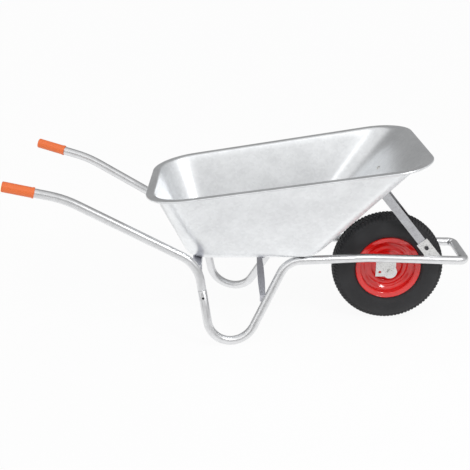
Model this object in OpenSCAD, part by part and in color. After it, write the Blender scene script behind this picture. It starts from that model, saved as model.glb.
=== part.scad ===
// Builder's wheelbarrow: pressed tray, one-piece tube frame with plug-in handles, pneumatic wheel.
// +X points forward to the wheel, +Y to the left, +Z up. The ground is Z = 0.
// Places along X are first given from the axle, then moved so that the middle of the length is X = 0.

/* [Wheel] */
// Outside diameter of the tyre
wheel_d = 400; // [340:2:420]
// Width of the tyre
tyre_w = 98; // [80:2:100]
// Thickness of the tyre carcass
tyre_t = 9; // [6:0.5:10]
// Diameter at which the tyre sits on the rim
seat_d = 203; // [180:1:210]
// Height of the rim's flange above the seat
flange_h = 16; // [12:1:20]
// Width of the rim over its flanges
rim_w = 65; // [56:1:72]
// Thickness of the pressed rim sheet
rim_t = 2.4; // [1.5:0.1:3]
// Length of the hub over its bushes
hub_l = 100; // [90:1:106]
// Outside diameter of the hub tube
hub_d = 34; // [32:0.5:40]
// Wall of the hub tube
hub_wall = 3; // [2:0.25:3.5]
// Diameter of the axle bolt
axle_d = 12; // [10:1:14]
// Radial running clearance of the bushes on the axle
run_gap = 0.06; // [0.03:0.01:0.1]

/* [Frame tube] */
// Outside diameter of the frame and handle tube
tube_d = 30; // [26:0.5:33]
// Wall of the frame and handle tube
tube_wall = 1.5; // [1.2:0.1:2.2]
// Gap between the tyre and the nose tube
nose_gap = 43; // [20:1:60]
// Half spacing of the rails at the nose
nose_half = 89; // [84:1:96]
// Height of the nose tube above the axle
nose_rise = 53; // [45:1:65]
// Distance from the axle back to the bend where the rails open out
knee_reach = 77; // [60:1:100]
// Half spacing of the rails at that bend
knee_half = 81; // [78:1:88]
// Height of that bend above the axle
knee_rise = 61; // [52:1:70]
// Distance from the axle back to the top of the front legs
leg_reach = 372; // [340:2:400]
// Half spacing of the rails at the top of the front legs
leg_half = 131; // [120:1:140]
// Middle radius of the bend at the foot
foot_r = 87; // [70:1:95]
// Height of the mouth that the handle plugs into
mouth_h = 201; // [180:1:215]

/* [Handles] */
// Height of the bend between the rear leg and the handle, above the floor of the tray
elbow_rise = 4; // [0:1:10]
// Middle radius of that bend
elbow_r = 120; // [90:5:130]
// Distance from the axle back to the grips' ends
grip_reach = 1286; // [1180:2:1400]
// Half spacing of the grips' ends
grip_half = 264; // [245:1:280]
// Height of the grips' ends above that bend
grip_rise = 293; // [250:1:340]
// Length of a grip
grip_l = 102; // [90:1:130]
// Wall of a grip
grip_wall = 2.2; // [1.8:0.1:3]
// Depth to which a handle plugs into the frame
plug_l = 72; // [50:1:80]

/* [Tray] */
// Height of the underside of the tray's floor above the axle
deck_rise = 88; // [80:1:110]
// Depth of the tray at the rear
rear_depth = 231; // [200:1:260]
// Depth of the tray at the front
front_depth = 368; // [320:1:400]
// Distance from the axle forward to the front edge of the rim
tray_front = 90; // [70:1:110]
// Distance from the axle back to the rear edge of the rim
tray_rear = 848; // [800:2:900]
// Half width over the rim at the rear
rim_rear_half = 281; // [260:1:290]
// Half width over the rim at the front
rim_front_half = 304; // [280:1:320]
// Width of the rim's flat edge
brim_w = 26; // [20:1:30]
// Diameter of the rolled bead on the edge
bead_d = 9; // [7:0.5:11]
// Thickness of the tray sheet
tray_t = 1.5; // [1.2:0.1:2]
// Half width of the floor, before rounding
floor_half = 155; // [145:1:165]
// Distance from the axle back to the front end of the floor
floor_front = 268; // [250:1:285]
// Distance from the axle back to the rear end of the floor
floor_rear = 715; // [690:1:740]

/* [Plates and stays] */
// Thickness of the axle plates
axle_plate_t = 5; // [4:0.5:6]
// Half distance between the axle plates' inner faces
axle_plate_half = 63.5; // [60:0.5:65]
// Radius of the axle plate's lobe
lobe_r = 25; // [22:0.5:28]
// Distance between the two holes of an axle plate
hole_pitch = 36; // [32:1:40]
// Diameter of the spare hole
spare_hole_d = 10; // [8:0.5:12]
// Distance along the front wall from the floor's corner to where a stay rests
stay_rest = 310; // [270:5:330]
// Distance from the axle forward to a stay's foot on the rail
stay_foot_x = 141; // [125:1:155]
// Thickness of the upright plate that carries a stay
stay_plate_t = 3; // [2.5:0.5:5]
// Width of that plate
stay_plate_w = 43; // [38:1:48]
// Width of a stay
stay_w = 29; // [25:1:32]
// Depth of a stay's folded edges
stay_edge = 11; // [8:1:14]
// Thickness of a stay's sheet
stay_t = 2.5; // [2:0.25:3]
// Leg width of the angle bar under the rear of the floor
angle_w = 30; // [25:1:35]
// Thickness of the angle bar
angle_t = 3; // [2.5:0.25:4]
// Width of the cross brace between the front legs
brace_w = 25; // [20:1:30]
// Thickness of the cross brace
brace_t = 4; // [3:0.5:5]
// Height of the cross brace
brace_h = 158; // [130:1:190]

/* [Fasteners] */
// Thread diameter of the tray, stay and handle bolts
bolt_d = 8; // [6:1:8]
// Radial clearance of a bolt in its hole
bolt_gap = 0.25; // [0.2:0.05:0.5]

/* [Hidden] */

$fn = 96;
right = -1;
left = 1;

tube_r = tube_d/2;
bore_r = tube_r - tube_wall;
snug = 0.04;
thread_gap = 0.04;
axle_h = wheel_d/2;
nose_reach = axle_h + nose_gap + tube_r;
deck_h = axle_h + deck_rise;
plug_r = bore_r - 0.15;
bolt_hole_d = bolt_d + 2*bolt_gap;
nut_w = 1.625*bolt_d;
nut_h = 0.8*bolt_d;
cup_d = 2.1*bolt_d;
cup_h = 0.5*bolt_d;
galvanised = "#c3c8cb";
tray_metal = "#cdd2d5";
red_paint = "#c81f1c";
rubber = "#232325";
orange = "#f0683a";
zinc = "#b9bdc0";

// Length from the grips' ends to the front of the nose, and the shift that centres it
back_x = -grip_reach;
front_x = nose_reach + tube_r;
mid_x = (front_x + back_x)/2;

// ---- vectors ----
function unit(v) = v/norm(v);
function mix(a, b, t) = a + (b - a)*t;
function side_of(p, side) = [p[0], side*p[1], p[2]];
function reversed(list) = [for (i = [len(list) - 1 : -1 : 0]) list[i]];

// ---- centre line of the frame tube, left half, from the nose to the mouth ----
front_leg_run = [0.536, -0.325, 1];
rear_leg_run = [-0.160, -0.151, 1];
nose_p = [nose_reach, nose_half, axle_h + nose_rise];
knee_p = [-knee_reach, knee_half, axle_h + knee_rise];
leg_top_gap = 2;
leg_top_p = [-leg_reach, leg_half, deck_h - tube_r - leg_top_gap];
leg_half_angle = acos(unit(front_leg_run)*unit(rear_leg_run))/2;
leg_middle = unit(unit(front_leg_run) + unit(rear_leg_run));
leg_normal = unit(cross(rear_leg_run, front_leg_run));
foot_corner_z = tube_r - foot_r*(leg_middle[2]/sin(leg_half_angle) - sqrt(1 - pow(leg_normal[2], 2)));
foot_corner = leg_top_p + (foot_corner_z - leg_top_p[2])*front_leg_run;
function rear_leg_at(z) = foot_corner + (z - foot_corner_z)*rear_leg_run;
function front_leg_at(z) = foot_corner + (z - foot_corner_z)*front_leg_run;
mouth_p = rear_leg_at(mouth_h);

nose_r = 24;
knee_r = 300;
leg_top_r = 80;
half_frame = [mouth_p, foot_corner, leg_top_p, knee_p, nose_p];
half_frame_r = [0, foot_r, leg_top_r, knee_r, nose_r];
frame_path = concat([for (p = half_frame) side_of(p, right)], [for (p = reversed(half_frame)) p]);
frame_r = concat(half_frame_r, reversed(half_frame_r));

// ---- centre line of a handle, left side, from its plug to its end ----
elbow_p = rear_leg_at(deck_h + elbow_rise);
grip_end_p = [-grip_reach, grip_half, elbow_p[2] + grip_rise];
shoulder_ahead = [187, -26, -50];
shoulder_p = grip_end_p + shoulder_ahead;
grip_axis = unit(shoulder_p - grip_end_p);
grip_cap = 3;
handle_end_p = grip_end_p + grip_cap*grip_axis;
shoulder_r = 350;
handle_path = [mouth_p, elbow_p, shoulder_p, handle_end_p];
handle_r = [0, elbow_r, shoulder_r, 0];
leg_axis = unit(rear_leg_run);
handle_bolt_drop = 25;
handle_bolt_p = mouth_p - handle_bolt_drop*leg_axis;
handle_bolt_axis = unit([0, 1, 0] - leg_axis[1]*leg_axis);

// ---- tray ----
rim_slope = (front_depth - rear_depth)/(tray_front + tray_rear);
function rim_z(x) = deck_h + rear_depth + rim_slope*(x + tray_rear);
corner_seg = 12;
rim_front_r = 140;
rim_rear_r = 152;
floor_front_r = 56;
floor_rear_r = 72;
floor_round = 24;
side_inset = 0.6;
brim_round = 7;

// Plane outline of the tray, as [rear x, front x, rear half, front half, rear radius, front radius]
brim_outline = [-tray_rear, tray_front, rim_rear_half, rim_front_half, rim_rear_r, rim_front_r];
floor_outline = [-floor_rear, -floor_front, floor_half, floor_half, floor_rear_r, floor_front_r];
function grown(o, d) = [o[0] - d, o[1] + d, o[2] + d, o[3] + d, o[4] + d, o[5] + d];
function arc_points(x, y, r, from) =
    [for (i = [0 : corner_seg]) [x + r*cos(from + 90*i/corner_seg), y + r*sin(from + 90*i/corner_seg)]];
function outline(o) = concat(
    arc_points(o[1] - o[5], o[3] - o[5], o[5], 0),
    arc_points(o[0] + o[4], o[2] - o[4], o[4], 90),
    arc_points(o[0] + o[4], -o[2] + o[4], o[4], 180),
    arc_points(o[1] - o[5], -o[3] + o[5], o[5], 270));
function ring_at(o, z) = [for (p = outline(o)) [p[0], p[1], z]];
function ring_on_rim(o, h) = [for (p = outline(o)) [p[0], p[1], rim_z(p[0]) + h]];
function mix_rings(a, b, t) = [for (i = [0 : len(a) - 1]) mix(a[i], b[i], t)];
function rounded(a, b, c, steps) = [for (s = [0 : steps])
    mix_rings(mix_rings(a, b, s/steps), mix_rings(b, c, s/steps), s/steps)];

// The outer skin at inset 0, and the inner skin one sheet above it and a part of that to the side
function wall_foot(inset) = ring_at(grown(floor_outline, -side_inset*inset), deck_h + inset);
function wall_top(inset) = ring_on_rim(grown(brim_outline, -brim_w - side_inset*inset), inset);
function skin(inset) =
    let (flat = ring_at(grown(floor_outline, -floor_round), deck_h + inset),
         foot = wall_foot(inset),
         top = wall_top(inset),
         brim = ring_on_rim(grown(brim_outline, -brim_w + brim_round), inset))
    concat(rounded(flat, foot, mix_rings(foot, top, 0.1), 4),
           rounded(mix_rings(foot, top, 0.975), top, brim, 3));
bead_r = bead_d/2;
bead_rings = [for (a = [150 : 30 : 450])
    ring_on_rim(grown(brim_outline, -bead_r + bead_r*cos(a)), tray_t - bead_r + bead_r*sin(a))];
tray_rings = concat(skin(0), bead_rings, reversed(skin(tray_t)));

// Places of the tray's fastenings: on the rails, on the angle bar and at the stays
rail_bolt_x = -320;
rail_run = (knee_p - leg_top_p)/(knee_p[0] - leg_top_p[0]);
rail_bolt_p = leg_top_p + (rail_bolt_x - leg_top_p[0])*rail_run;
pad_d = 24;
pad_t = deck_h - tube_r - rail_bolt_p[2] + pad_d/2*rail_run[2];
bar_ahead = 12;
bar_front_x = elbow_p[0] + bar_ahead;
bar_bolt_x = bar_front_x - angle_w/2 - angle_t/2;
bar_bolt_y = 90;

// ---- stays ----
front_wall_foot = [-floor_front, 0, deck_h];
front_wall_top = [tray_front - brim_w, 0, rim_z(tray_front - brim_w)];
front_wall_run = unit(front_wall_top - front_wall_foot);
front_wall_tilt = atan2(front_wall_run[2], front_wall_run[0]);
fore_rail_run = (nose_p - knee_p)/(nose_p[0] - knee_p[0]);
function fore_rail_at(x) = knee_p + (x - knee_p[0])*fore_rail_run;
stay_top = front_wall_foot + stay_rest*front_wall_run;
stay_foot = [stay_foot_x, 0, fore_rail_at(stay_foot_x)[2] + tube_r];
stay_len = norm(stay_foot - stay_top);
stay_dip = atan2(stay_top[2] - stay_foot[2], stay_foot[0] - stay_top[0]);
stay_plate_y = fore_rail_at(stay_foot_x)[1];
stay_y = stay_plate_y - stay_plate_t/2;
stay_plate_up = 67;
stay_bolt_up = 38;
stay_end_gap = 14;
stay_tab_l = 50;
stay_tab_hole = 32;

// ---- wheel ----
seat_r = seat_d/2;
rim_r = seat_r + flange_h;
tyre_r = wheel_d/2;
tread_t = 12;
bead_half = 13;
tread_half = 0.78*tyre_w/2;
shoulder_drop = 10;
cavity_r = tyre_w/2 - tyre_t;
cavity_mid = tyre_r - tread_t - cavity_r;
seat_gap = 0.2;
bush_r = hub_d/2 - hub_wall;
bush_l = 24;
bush_flange = 2.5;
valve_d = 8;
valve_at = seat_r - 9;
valve_out = 42;
valve_cap_l = 10;
air_gap = 0.3;

// ---- helpers ----
module at_mid() { translate([-mid_x, 0, 0]) children(); }

module on_side(side) {
    if (side == left) children();
    else mirror([0, 1, 0]) children();
}

module on_both_sides() {
    on_side(left) children();
    on_side(right) children();
}

// A round bar or, with a bore, a tube between two points
module rod(a, b, r, bore = 0) {
    d = b - a;
    translate(a) rotate([0, acos(d[2]/norm(d)), atan2(d[1], d[0])])
        difference() {
            cylinder(r = r, h = norm(d));
            if (bore > 0) translate([0, 0, -1]) cylinder(r = bore, h = norm(d) + 2);
        }
}

// One bend of a tube: from direction u to direction w around the corner point
module bend(corner, u, w, bend_r, r, bore) {
    turn = acos(u*w);
    start = corner - bend_r*tan(turn/2)*u;
    centre = corner + bend_r/cos(turn/2)*unit(w - u);
    ex = unit(start - centre);
    ez = cross(ex, u);
    multmatrix([[ex[0], u[0], ez[0], centre[0]], [ex[1], u[1], ez[1], centre[1]],
                [ex[2], u[2], ez[2], centre[2]], [0, 0, 0, 1]])
        rotate_extrude(angle = turn)
            translate([bend_r, 0]) difference() {
                circle(r = r);
                if (bore > 0) circle(r = bore);
            }
}

// A tube bent along a path. The straights reach a little into each bend, whose wall is
// a hair thinner, so that every bend ends inside its straights.
bend_lap = 0.45;
bend_hair = 0.02;
function setback(path, radii, i) = (i == 0 || i == len(path) - 1) ? 0
    : radii[i]*tan(acos(unit(path[i] - path[i - 1])*unit(path[i + 1] - path[i]))/2);
module bent_tube(path, radii, r, bore = 0) {
    last = len(path) - 1;
    for (i = [0 : last - 1]) {
        u = unit(path[i + 1] - path[i]);
        from = i == 0 ? 0 : setback(path, radii, i) - bend_lap;
        to = i + 1 == last ? 0 : setback(path, radii, i + 1) - bend_lap;
        rod(path[i] + from*u, path[i + 1] - to*u, r, bore);
    }
    for (i = [1 : last - 1])
        bend(path[i], unit(path[i] - path[i - 1]), unit(path[i + 1] - path[i]), radii[i],
             r - bend_hair, bore > 0 ? bore + bend_hair : 0);
}

module hex(w, h) { cylinder(d = w/cos(30), h = h, $fn = 6); }

// A bolt along +Z: its head below Z = 0, its shank up to the given length
module hex_bolt(d, l, head_w, head_h) {
    translate([0, 0, -head_h]) hex(head_w, head_h);
    cylinder(d = d, h = l);
}

module cup_bolt(l) {
    ball = (pow(cup_d/2, 2) + pow(cup_h, 2))/(2*cup_h);
    intersection() {
        translate([0, 0, ball - cup_h]) sphere(r = ball);
        translate([0, 0, -cup_h - 1]) cylinder(d = cup_d, h = cup_h + 1);
    }
    cylinder(d = bolt_d, h = l);
}

module hex_nut(d, w, h) {
    difference() {
        hex(w, h);
        translate([0, 0, -1]) cylinder(d = d, h = h + 2);
    }
}

// A folded sheet's outline: a path and the same path one thickness to its left
function left_of(a, b) = let (d = unit(b - a)) [-d[1], d[0]];
function miter(path, i) =
    let (last = len(path) - 1,
         before = left_of(path[max(i - 1, 0)], path[max(i, 1)]),
         after = left_of(path[min(i, last - 1)], path[min(i + 1, last)]))
    (before + after)/(1 + before*after);
function sheet(path, t) = concat(path, reversed([for (i = [0 : len(path) - 1]) path[i] + t*miter(path, i)]));

// ---- tray ----
module tray_shell() {
    n = len(tray_rings[0]);
    last = len(tray_rings) - 1;
    points = [for (ring = tray_rings) for (p = ring) p];
    sides = [for (j = [0 : last - 1]) for (i = [0 : n - 1])
        [j*n + i, (j + 1)*n + i, (j + 1)*n + (i + 1)%n, j*n + (i + 1)%n]];
    under = [for (i = [0 : n - 1]) i];
    over = [for (i = [n - 1 : -1 : 0]) last*n + i];
    polyhedron(points = points, faces = concat(sides, [under], [over]), convexity = 6);
}

// Local Z runs down from the top of the tray's floor
module at_rail_bolts() {
    on_both_sides() translate([rail_bolt_x, rail_bolt_p[1], deck_h + tray_t]) rotate([180, 0, 0]) children();
}
module at_bar_bolts() {
    on_both_sides() translate([bar_bolt_x, bar_bolt_y, deck_h + tray_t]) rotate([180, 0, 0]) children();
}

// Local Z runs out of the tray through its front wall, from the wall's outer face,
// and local X runs down the wall
stay_mid_y = stay_y - stay_edge/2;
module at_stay_tops() {
    on_both_sides() translate([stay_top[0], stay_mid_y, stay_top[2]])
        rotate([0, 180 - front_wall_tilt, 0]) children();
}

module tray() {
    color(tray_metal) at_mid() difference() {
        tray_shell();
        at_rail_bolts() translate([0, 0, -2]) cylinder(d = bolt_hole_d, h = tray_t + 4);
        at_bar_bolts() translate([0, 0, -2]) cylinder(d = bolt_hole_d, h = tray_t + 4);
        at_stay_tops() translate([-stay_tab_hole, 0, -6]) cylinder(d = bolt_hole_d, h = 12);
    }
}

// ---- frame ----
module handle_bolt_hole() {
    rod(handle_bolt_p - tube_d*handle_bolt_axis, handle_bolt_p + tube_d*handle_bolt_axis, bolt_hole_d/2);
}

module frame_tube() {
    color(galvanised) at_mid() difference() {
        bent_tube(frame_path, frame_r, tube_r, bore_r);
        at_rail_bolts() cylinder(d = bolt_hole_d, h = deck_h + tray_t - rail_bolt_p[2]);
        on_both_sides() handle_bolt_hole();
    }
}

// ---- handles ----
// The lower end is drawn down to a plug, and its shoulder rests on the frame's mouth
module handle(side) {
    shoulder_t = 3;
    color(galvanised) at_mid() on_side(side) difference() {
        union() {
            bent_tube(handle_path, handle_r, tube_r, bore_r);
            rod(mouth_p, mouth_p + shoulder_t*leg_axis, bore_r + tube_wall/2, plug_r - tube_wall);
            rod(mouth_p - plug_l*leg_axis, mouth_p + (shoulder_t - 1)*leg_axis, plug_r, plug_r - tube_wall);
        }
        handle_bolt_hole();
    }
}
module handle_right() { handle(right); }
module handle_left() { handle(left); }

module grip(side) {
    collar_l = 6;
    collar_h = 1;
    outer_r = tube_r + grip_wall;
    mouth = grip_end_p + grip_l*grip_axis;
    color(orange) at_mid() on_side(side) difference() {
        union() {
            rod(grip_end_p, mouth, outer_r);
            rod(mouth - collar_l*grip_axis, mouth, outer_r + collar_h);
        }
        rod(handle_end_p, mouth + grip_axis, tube_r + snug);
    }
}
module grip_right() { grip(right); }
module grip_left() { grip(left); }

// Each bolt is put in from the inside, square to the leg, and stops short of the outer face
module handle_bolts() {
    short = 8;
    a = handle_bolt_axis;
    color(zinc) at_mid() on_both_sides()
        translate(handle_bolt_p - tube_r*a) rotate([0, acos(a[2]), atan2(a[1], a[0])])
            hex_bolt(bolt_d, tube_d - short, nut_w, nut_h);
}

// ---- cross members ----
module rear_cross_bar() {
    end_y = elbow_p[1] - 2;
    color(galvanised) at_mid() difference() {
        translate([bar_front_x, end_y, deck_h]) rotate([90, 0, 0])
            linear_extrude(height = 2*end_y)
                polygon([[0, 0], [-angle_w, 0], [-angle_w, -angle_t], [-angle_t, -angle_t],
                         [-angle_t, -angle_w], [0, -angle_w]]);
        on_both_sides() bent_tube([mouth_p, elbow_p, shoulder_p], [0, elbow_r, 0], tube_r + snug);
        at_bar_bolts() cylinder(d = bolt_hole_d, h = 2*angle_t + tray_t);
    }
}

// A flat bar behind the front legs, its ends folded down and fitted to the tubes
module leg_brace() {
    leg = front_leg_at(brace_h);
    end_y = leg[1] + tube_r/2;
    neck_y = 60;
    neck_w = 0.76*brace_w;
    bite = 4;
    tab_h = 24;
    color(galvanised) at_mid() difference() {
        translate([leg[0] - brace_w/2 - tube_r + bite, 0, brace_h]) {
            linear_extrude(height = brace_t)
                polygon([[-brace_w/2, neck_y], [-neck_w/2, end_y], [neck_w/2, end_y],
                         [brace_w/2, neck_y], [brace_w/2, -neck_y], [neck_w/2, -end_y],
                         [-neck_w/2, -end_y], [-brace_w/2, -neck_y]]);
            on_both_sides() translate([-neck_w/2, end_y - brace_t, brace_t - tab_h])
                cube([neck_w, brace_t, tab_h]);
        }
        on_both_sides()
            rod(front_leg_at(brace_h - tube_d - tab_h), front_leg_at(brace_h + 2*tube_d), tube_r + snug);
    }
}

// ---- stays ----
// Local X runs from the stay's foot on the rail up to the tray, local Y forward across it
module at_stay(side) {
    on_side(side) translate([stay_foot[0], 0, stay_foot[2]])
        multmatrix([[-cos(stay_dip), sin(stay_dip), 0, 0], [0, 0, 1, 0],
                    [sin(stay_dip), cos(stay_dip), 0, 0], [0, 0, 0, 1]])
            children();
}

// A channel whose web faces outwards, with a foot plate against the tray's front wall
module stay(side) {
    tab_w = stay_edge + 16;
    color(galvanised) at_mid() difference() {
        union() {
            difference() {
                at_stay(side) translate([stay_end_gap, 0, stay_y]) rotate([90, 0, 90])
                    linear_extrude(height = stay_len)
                        polygon([[-stay_w/2, 0], [stay_w/2, 0], [stay_w/2, -stay_edge],
                                 [stay_w/2 - stay_t, -stay_edge], [stay_w/2 - stay_t, -stay_t],
                                 [stay_t - stay_w/2, -stay_t], [stay_t - stay_w/2, -stay_edge],
                                 [-stay_w/2, -stay_edge]]);
                on_side(side) translate([stay_top[0], 0, stay_top[2]])
                    rotate([0, 180 - front_wall_tilt, 0]) translate([-stay_len/2, 0, stay_t/2 - stay_len])
                        cube(stay_len);
            }
            on_side(side) translate([stay_top[0], stay_mid_y, stay_top[2]])
                rotate([0, 180 - front_wall_tilt, 0]) translate([-stay_tab_l, -tab_w/2, 0])
                    cube([stay_tab_l + stay_w/2, tab_w, stay_t]);
        }
        at_stay_tops() translate([-stay_tab_hole, 0, -1]) cylinder(d = bolt_hole_d, h = stay_t + 2);
        at_stay(side) translate([stay_bolt_up, 0, stay_y - 2*stay_t]) cylinder(d = bolt_hole_d, h = 4*stay_t);
    }
}
module stay_right() { stay(right); }
module stay_left() { stay(left); }

// The plate stands on the rail's crest, so its lower edge follows the rail
function crest_at(across) = let (m = fore_rail_run[2])
    across*(m*sin(stay_dip) - cos(stay_dip))/(sin(stay_dip) + m*cos(stay_dip));
module stay_plate(side) {
    half = stay_plate_w/2;
    sag = 0.15;
    color(galvanised) at_mid() difference() {
        at_stay(side) translate([0, 0, stay_y]) linear_extrude(height = stay_plate_t)
            polygon([[crest_at(-half) + sag, -half], [crest_at(half) + sag, half],
                     [stay_plate_up, half], [stay_plate_up, -half]]);
        at_stay(side) translate([stay_bolt_up, 0, stay_y - stay_plate_t])
            cylinder(d = bolt_hole_d, h = 3*stay_plate_t);
    }
}
module stay_plate_right() { stay_plate(right); }
module stay_plate_left() { stay_plate(left); }

// ---- axle plates ----
module axle_plate(side) {
    back = hole_pitch + 15;
    front = 20;
    low = 17;
    top = knee_rise + 4;
    color(galvanised) at_mid() on_side(side) difference() {
        translate([0, axle_plate_half + axle_plate_t, axle_h]) rotate([90, 0, 0])
            linear_extrude(height = axle_plate_t) difference() {
                union() {
                    translate([-back, -low]) square([back + front, low + top]);
                    circle(r = lobe_r);
                }
                circle(d = axle_d + 0.2);
                translate([-hole_pitch, 0]) circle(d = spare_hole_d);
            }
        rod(fore_rail_at(-1.5*knee_reach), fore_rail_at(nose_reach/2), tube_r + snug);
    }
}
module axle_plate_right() { axle_plate(right); }
module axle_plate_left() { axle_plate(left); }

// Local Z runs along the axle to the left
module on_axle() { at_mid() translate([0, 0, axle_h]) rotate([-90, 0, 0]) children(); }

plate_out = axle_plate_half + axle_plate_t;
axle_nut_w = 1.58*axle_d;
axle_nut_h = 0.85*axle_d;
module axle_bolt() {
    color(zinc) on_axle() translate([0, 0, -plate_out])
        hex_bolt(axle_d, 2*plate_out + axle_nut_h + 4, axle_nut_w, 0.62*axle_d);
}
module axle_nut() {
    color(zinc) on_axle() translate([0, 0, plate_out]) hex_nut(axle_d + thread_gap, axle_nut_w, axle_nut_h);
}
module axle_spacers() {
    side_gap = 0.4;
    color(zinc) on_both_sides() on_axle() translate([0, 0, hub_l/2 + side_gap])
        difference() {
            cylinder(d = axle_d + 8, h = axle_plate_half - hub_l/2 - side_gap);
            translate([0, 0, -1]) cylinder(d = axle_d + 0.3, h = axle_plate_half);
        }
}

// ---- wheel ----
// Section of one rim half, as [radius, distance from the middle plane]
crown_out = 10.5;
valley_out = 6.5;
step_out = 13;
lip_turn = 2.5;
hub_fit = 0.03;
dish = [[hub_d/2 + hub_fit, 0], [0.53*seat_r, 0], [0.59*seat_r, crown_out - 1.5],
        [0.65*seat_r, crown_out], [0.74*seat_r, valley_out], [0.79*seat_r, valley_out],
        [0.87*seat_r, step_out], [seat_r - rim_t - lip_turn, step_out],
        [seat_r - rim_t, step_out + lip_turn],
        [seat_r - rim_t, rim_w/2 - 2*lip_turn], [seat_r, rim_w/2 - lip_turn],
        [rim_r - lip_turn, rim_w/2 - lip_turn], [rim_r, rim_w/2]];
module rim_half(side) {
    color(red_paint) on_side(side) on_axle() difference() {
        rotate_extrude() polygon(sheet(dish, rim_t));
        if (side == left) rotate([0, 0, 90]) translate([valve_at, 0, 0])
            cylinder(d = valve_d + 2*bolt_gap, h = rim_w/2);
    }
}
module rim_right() { rim_half(right); }
module rim_left() { rim_half(left); }

module tyre() {
    flange_y = rim_w/2 - lip_turn - rim_t;
    crown = tyre_r - 2;
    crown_half = tread_half - 14;
    color(rubber) on_axle() rotate_extrude() difference() {
        union() {
            translate([tyre_r - tyre_w/2, 0]) circle(d = tyre_w);
            translate([seat_r + seat_gap, -flange_y]) square([cavity_mid - seat_r, 2*flange_y]);
            polygon([[tyre_r - 2*tread_t, -tread_half], [tyre_r - shoulder_drop, -tread_half],
                     [crown, -crown_half], [crown, crown_half],
                     [tyre_r - shoulder_drop, tread_half], [tyre_r - 2*tread_t, tread_half]]);
        }
        translate([cavity_mid, 0]) circle(r = cavity_r);
        translate([0, -bead_half]) square([cavity_mid, 2*bead_half]);
        for (s = [right, left]) translate([0, s*(flange_y + tyre_w/2)])
            square([2*(rim_r + seat_gap), tyre_w], center = true);
    }
}

module inner_tube() {
    tube_t = 2;
    color("#2e2e30") on_axle() rotate_extrude() translate([cavity_mid, 0]) difference() {
        circle(r = cavity_r - air_gap);
        circle(r = cavity_r - air_gap - tube_t);
    }
}

module hub_tube() {
    l = hub_l - 2*bush_flange;
    color(red_paint) on_axle() translate([0, 0, -l/2]) difference() {
        cylinder(d = hub_d, h = l);
        translate([0, 0, -1]) cylinder(r = bush_r, h = l + 2);
    }
}

module bush(side) {
    color("#2c2c2e") on_side(side) on_axle() translate([0, 0, hub_l/2 - bush_flange - bush_l])
        difference() {
            union() {
                cylinder(r = bush_r - 0.02, h = bush_l + bush_flange);
                translate([0, 0, bush_l]) cylinder(d = hub_d, h = bush_flange);
            }
            translate([0, 0, -1]) cylinder(r = axle_d/2 + run_gap, h = bush_l + bush_flange + 2);
        }
}
module bush_right() { bush(right); }
module bush_left() { bush(left); }

// The stem leaves the inner tube between the rim halves and turns out through the left one
valve_foot = cavity_mid - cavity_r + air_gap;
valve_in = 6;
module valve_stem() {
    color(rubber) on_axle() rotate([0, 0, 90]) {
        translate([valve_at, 0, valve_in]) cylinder(d = valve_d, h = valve_out - valve_cap_l - valve_in);
        translate([valve_at, 0, valve_in]) sphere(d = valve_d);
        translate([valve_at, 0, valve_in]) rotate([0, 90, 0])
            cylinder(d = valve_d, h = valve_foot - valve_at);
    }
}
module valve_cap() {
    color(rubber) on_axle() rotate([0, 0, 90]) translate([valve_at, 0, valve_out - valve_cap_l])
        cylinder(d = valve_d + 2, h = valve_cap_l);
}

// ---- fasteners ----
// The rails' nuts sit inside the tube, with their corners against its upper wall
rail_nut_side = nut_w/2*(rail_run[0] + tan(30)*abs(rail_run[1]))/norm([rail_run[0], rail_run[1]]);
rail_nut_z = deck_h + tray_t - rail_bolt_p[2] - sqrt(pow(bore_r, 2) - pow(rail_nut_side, 2))
    + nut_w/2*abs(rail_run[2]) + 0.02;
module tray_bolts() {
    color(zinc) at_mid() {
        at_rail_bolts() cup_bolt(rail_nut_z + nut_h + 3);
        at_bar_bolts() cup_bolt(tray_t + angle_t + nut_h + 3);
    }
}
module tray_nuts() {
    color(zinc) at_mid() {
        at_rail_bolts() translate([0, 0, rail_nut_z]) hex_nut(bolt_d + thread_gap, nut_w, nut_h);
        at_bar_bolts() translate([0, 0, tray_t + angle_t]) hex_nut(bolt_d + thread_gap, nut_w, nut_h);
    }
}
module tray_pads() {
    color(rubber) at_mid() at_rail_bolts() translate([0, 0, tray_t]) difference() {
        cylinder(d = pad_d, h = pad_t);
        translate([0, 0, -1]) cylinder(d = bolt_hole_d, h = pad_t + 2);
    }
}

wall_through = tray_t*(cos(front_wall_tilt) + side_inset*sin(front_wall_tilt)) + 0.02;
module stay_bolts() {
    color(zinc) at_mid() at_stay_tops() translate([-stay_tab_hole, 0, -wall_through])
        cup_bolt(wall_through + stay_t + nut_h + 3);
}
module stay_nuts() {
    color(zinc) at_mid() at_stay_tops() translate([-stay_tab_hole, 0, stay_t])
        hex_nut(bolt_d + thread_gap, nut_w, nut_h);
}
module at_stay_bolts() {
    for (s = [right, left]) at_stay(s) translate([stay_bolt_up, 0, stay_y]) children();
}
module stay_plate_bolts() {
    color(zinc) at_mid() at_stay_bolts() translate([0, 0, stay_plate_t]) rotate([180, 0, 0])
        hex_bolt(bolt_d, stay_plate_t + stay_t + nut_h + 3, nut_w, 0.65*bolt_d);
}
module stay_plate_nuts() {
    color(zinc) at_mid() at_stay_bolts() translate([0, 0, -stay_t - nut_h])
        hex_nut(bolt_d + thread_gap, nut_w, nut_h);
}

tray();
frame_tube();
handle_right();
handle_left();
grip_right();
grip_left();
handle_bolts();
rear_cross_bar();
leg_brace();
stay_right();
stay_left();
stay_plate_right();
stay_plate_left();
axle_plate_right();
axle_plate_left();
axle_bolt();
axle_nut();
axle_spacers();
tyre();
inner_tube();
rim_right();
rim_left();
hub_tube();
bush_right();
bush_left();
valve_stem();
valve_cap();
tray_bolts();
tray_nuts();
tray_pads();
stay_bolts();
stay_nuts();
stay_plate_bolts();
stay_plate_nuts();
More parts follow.
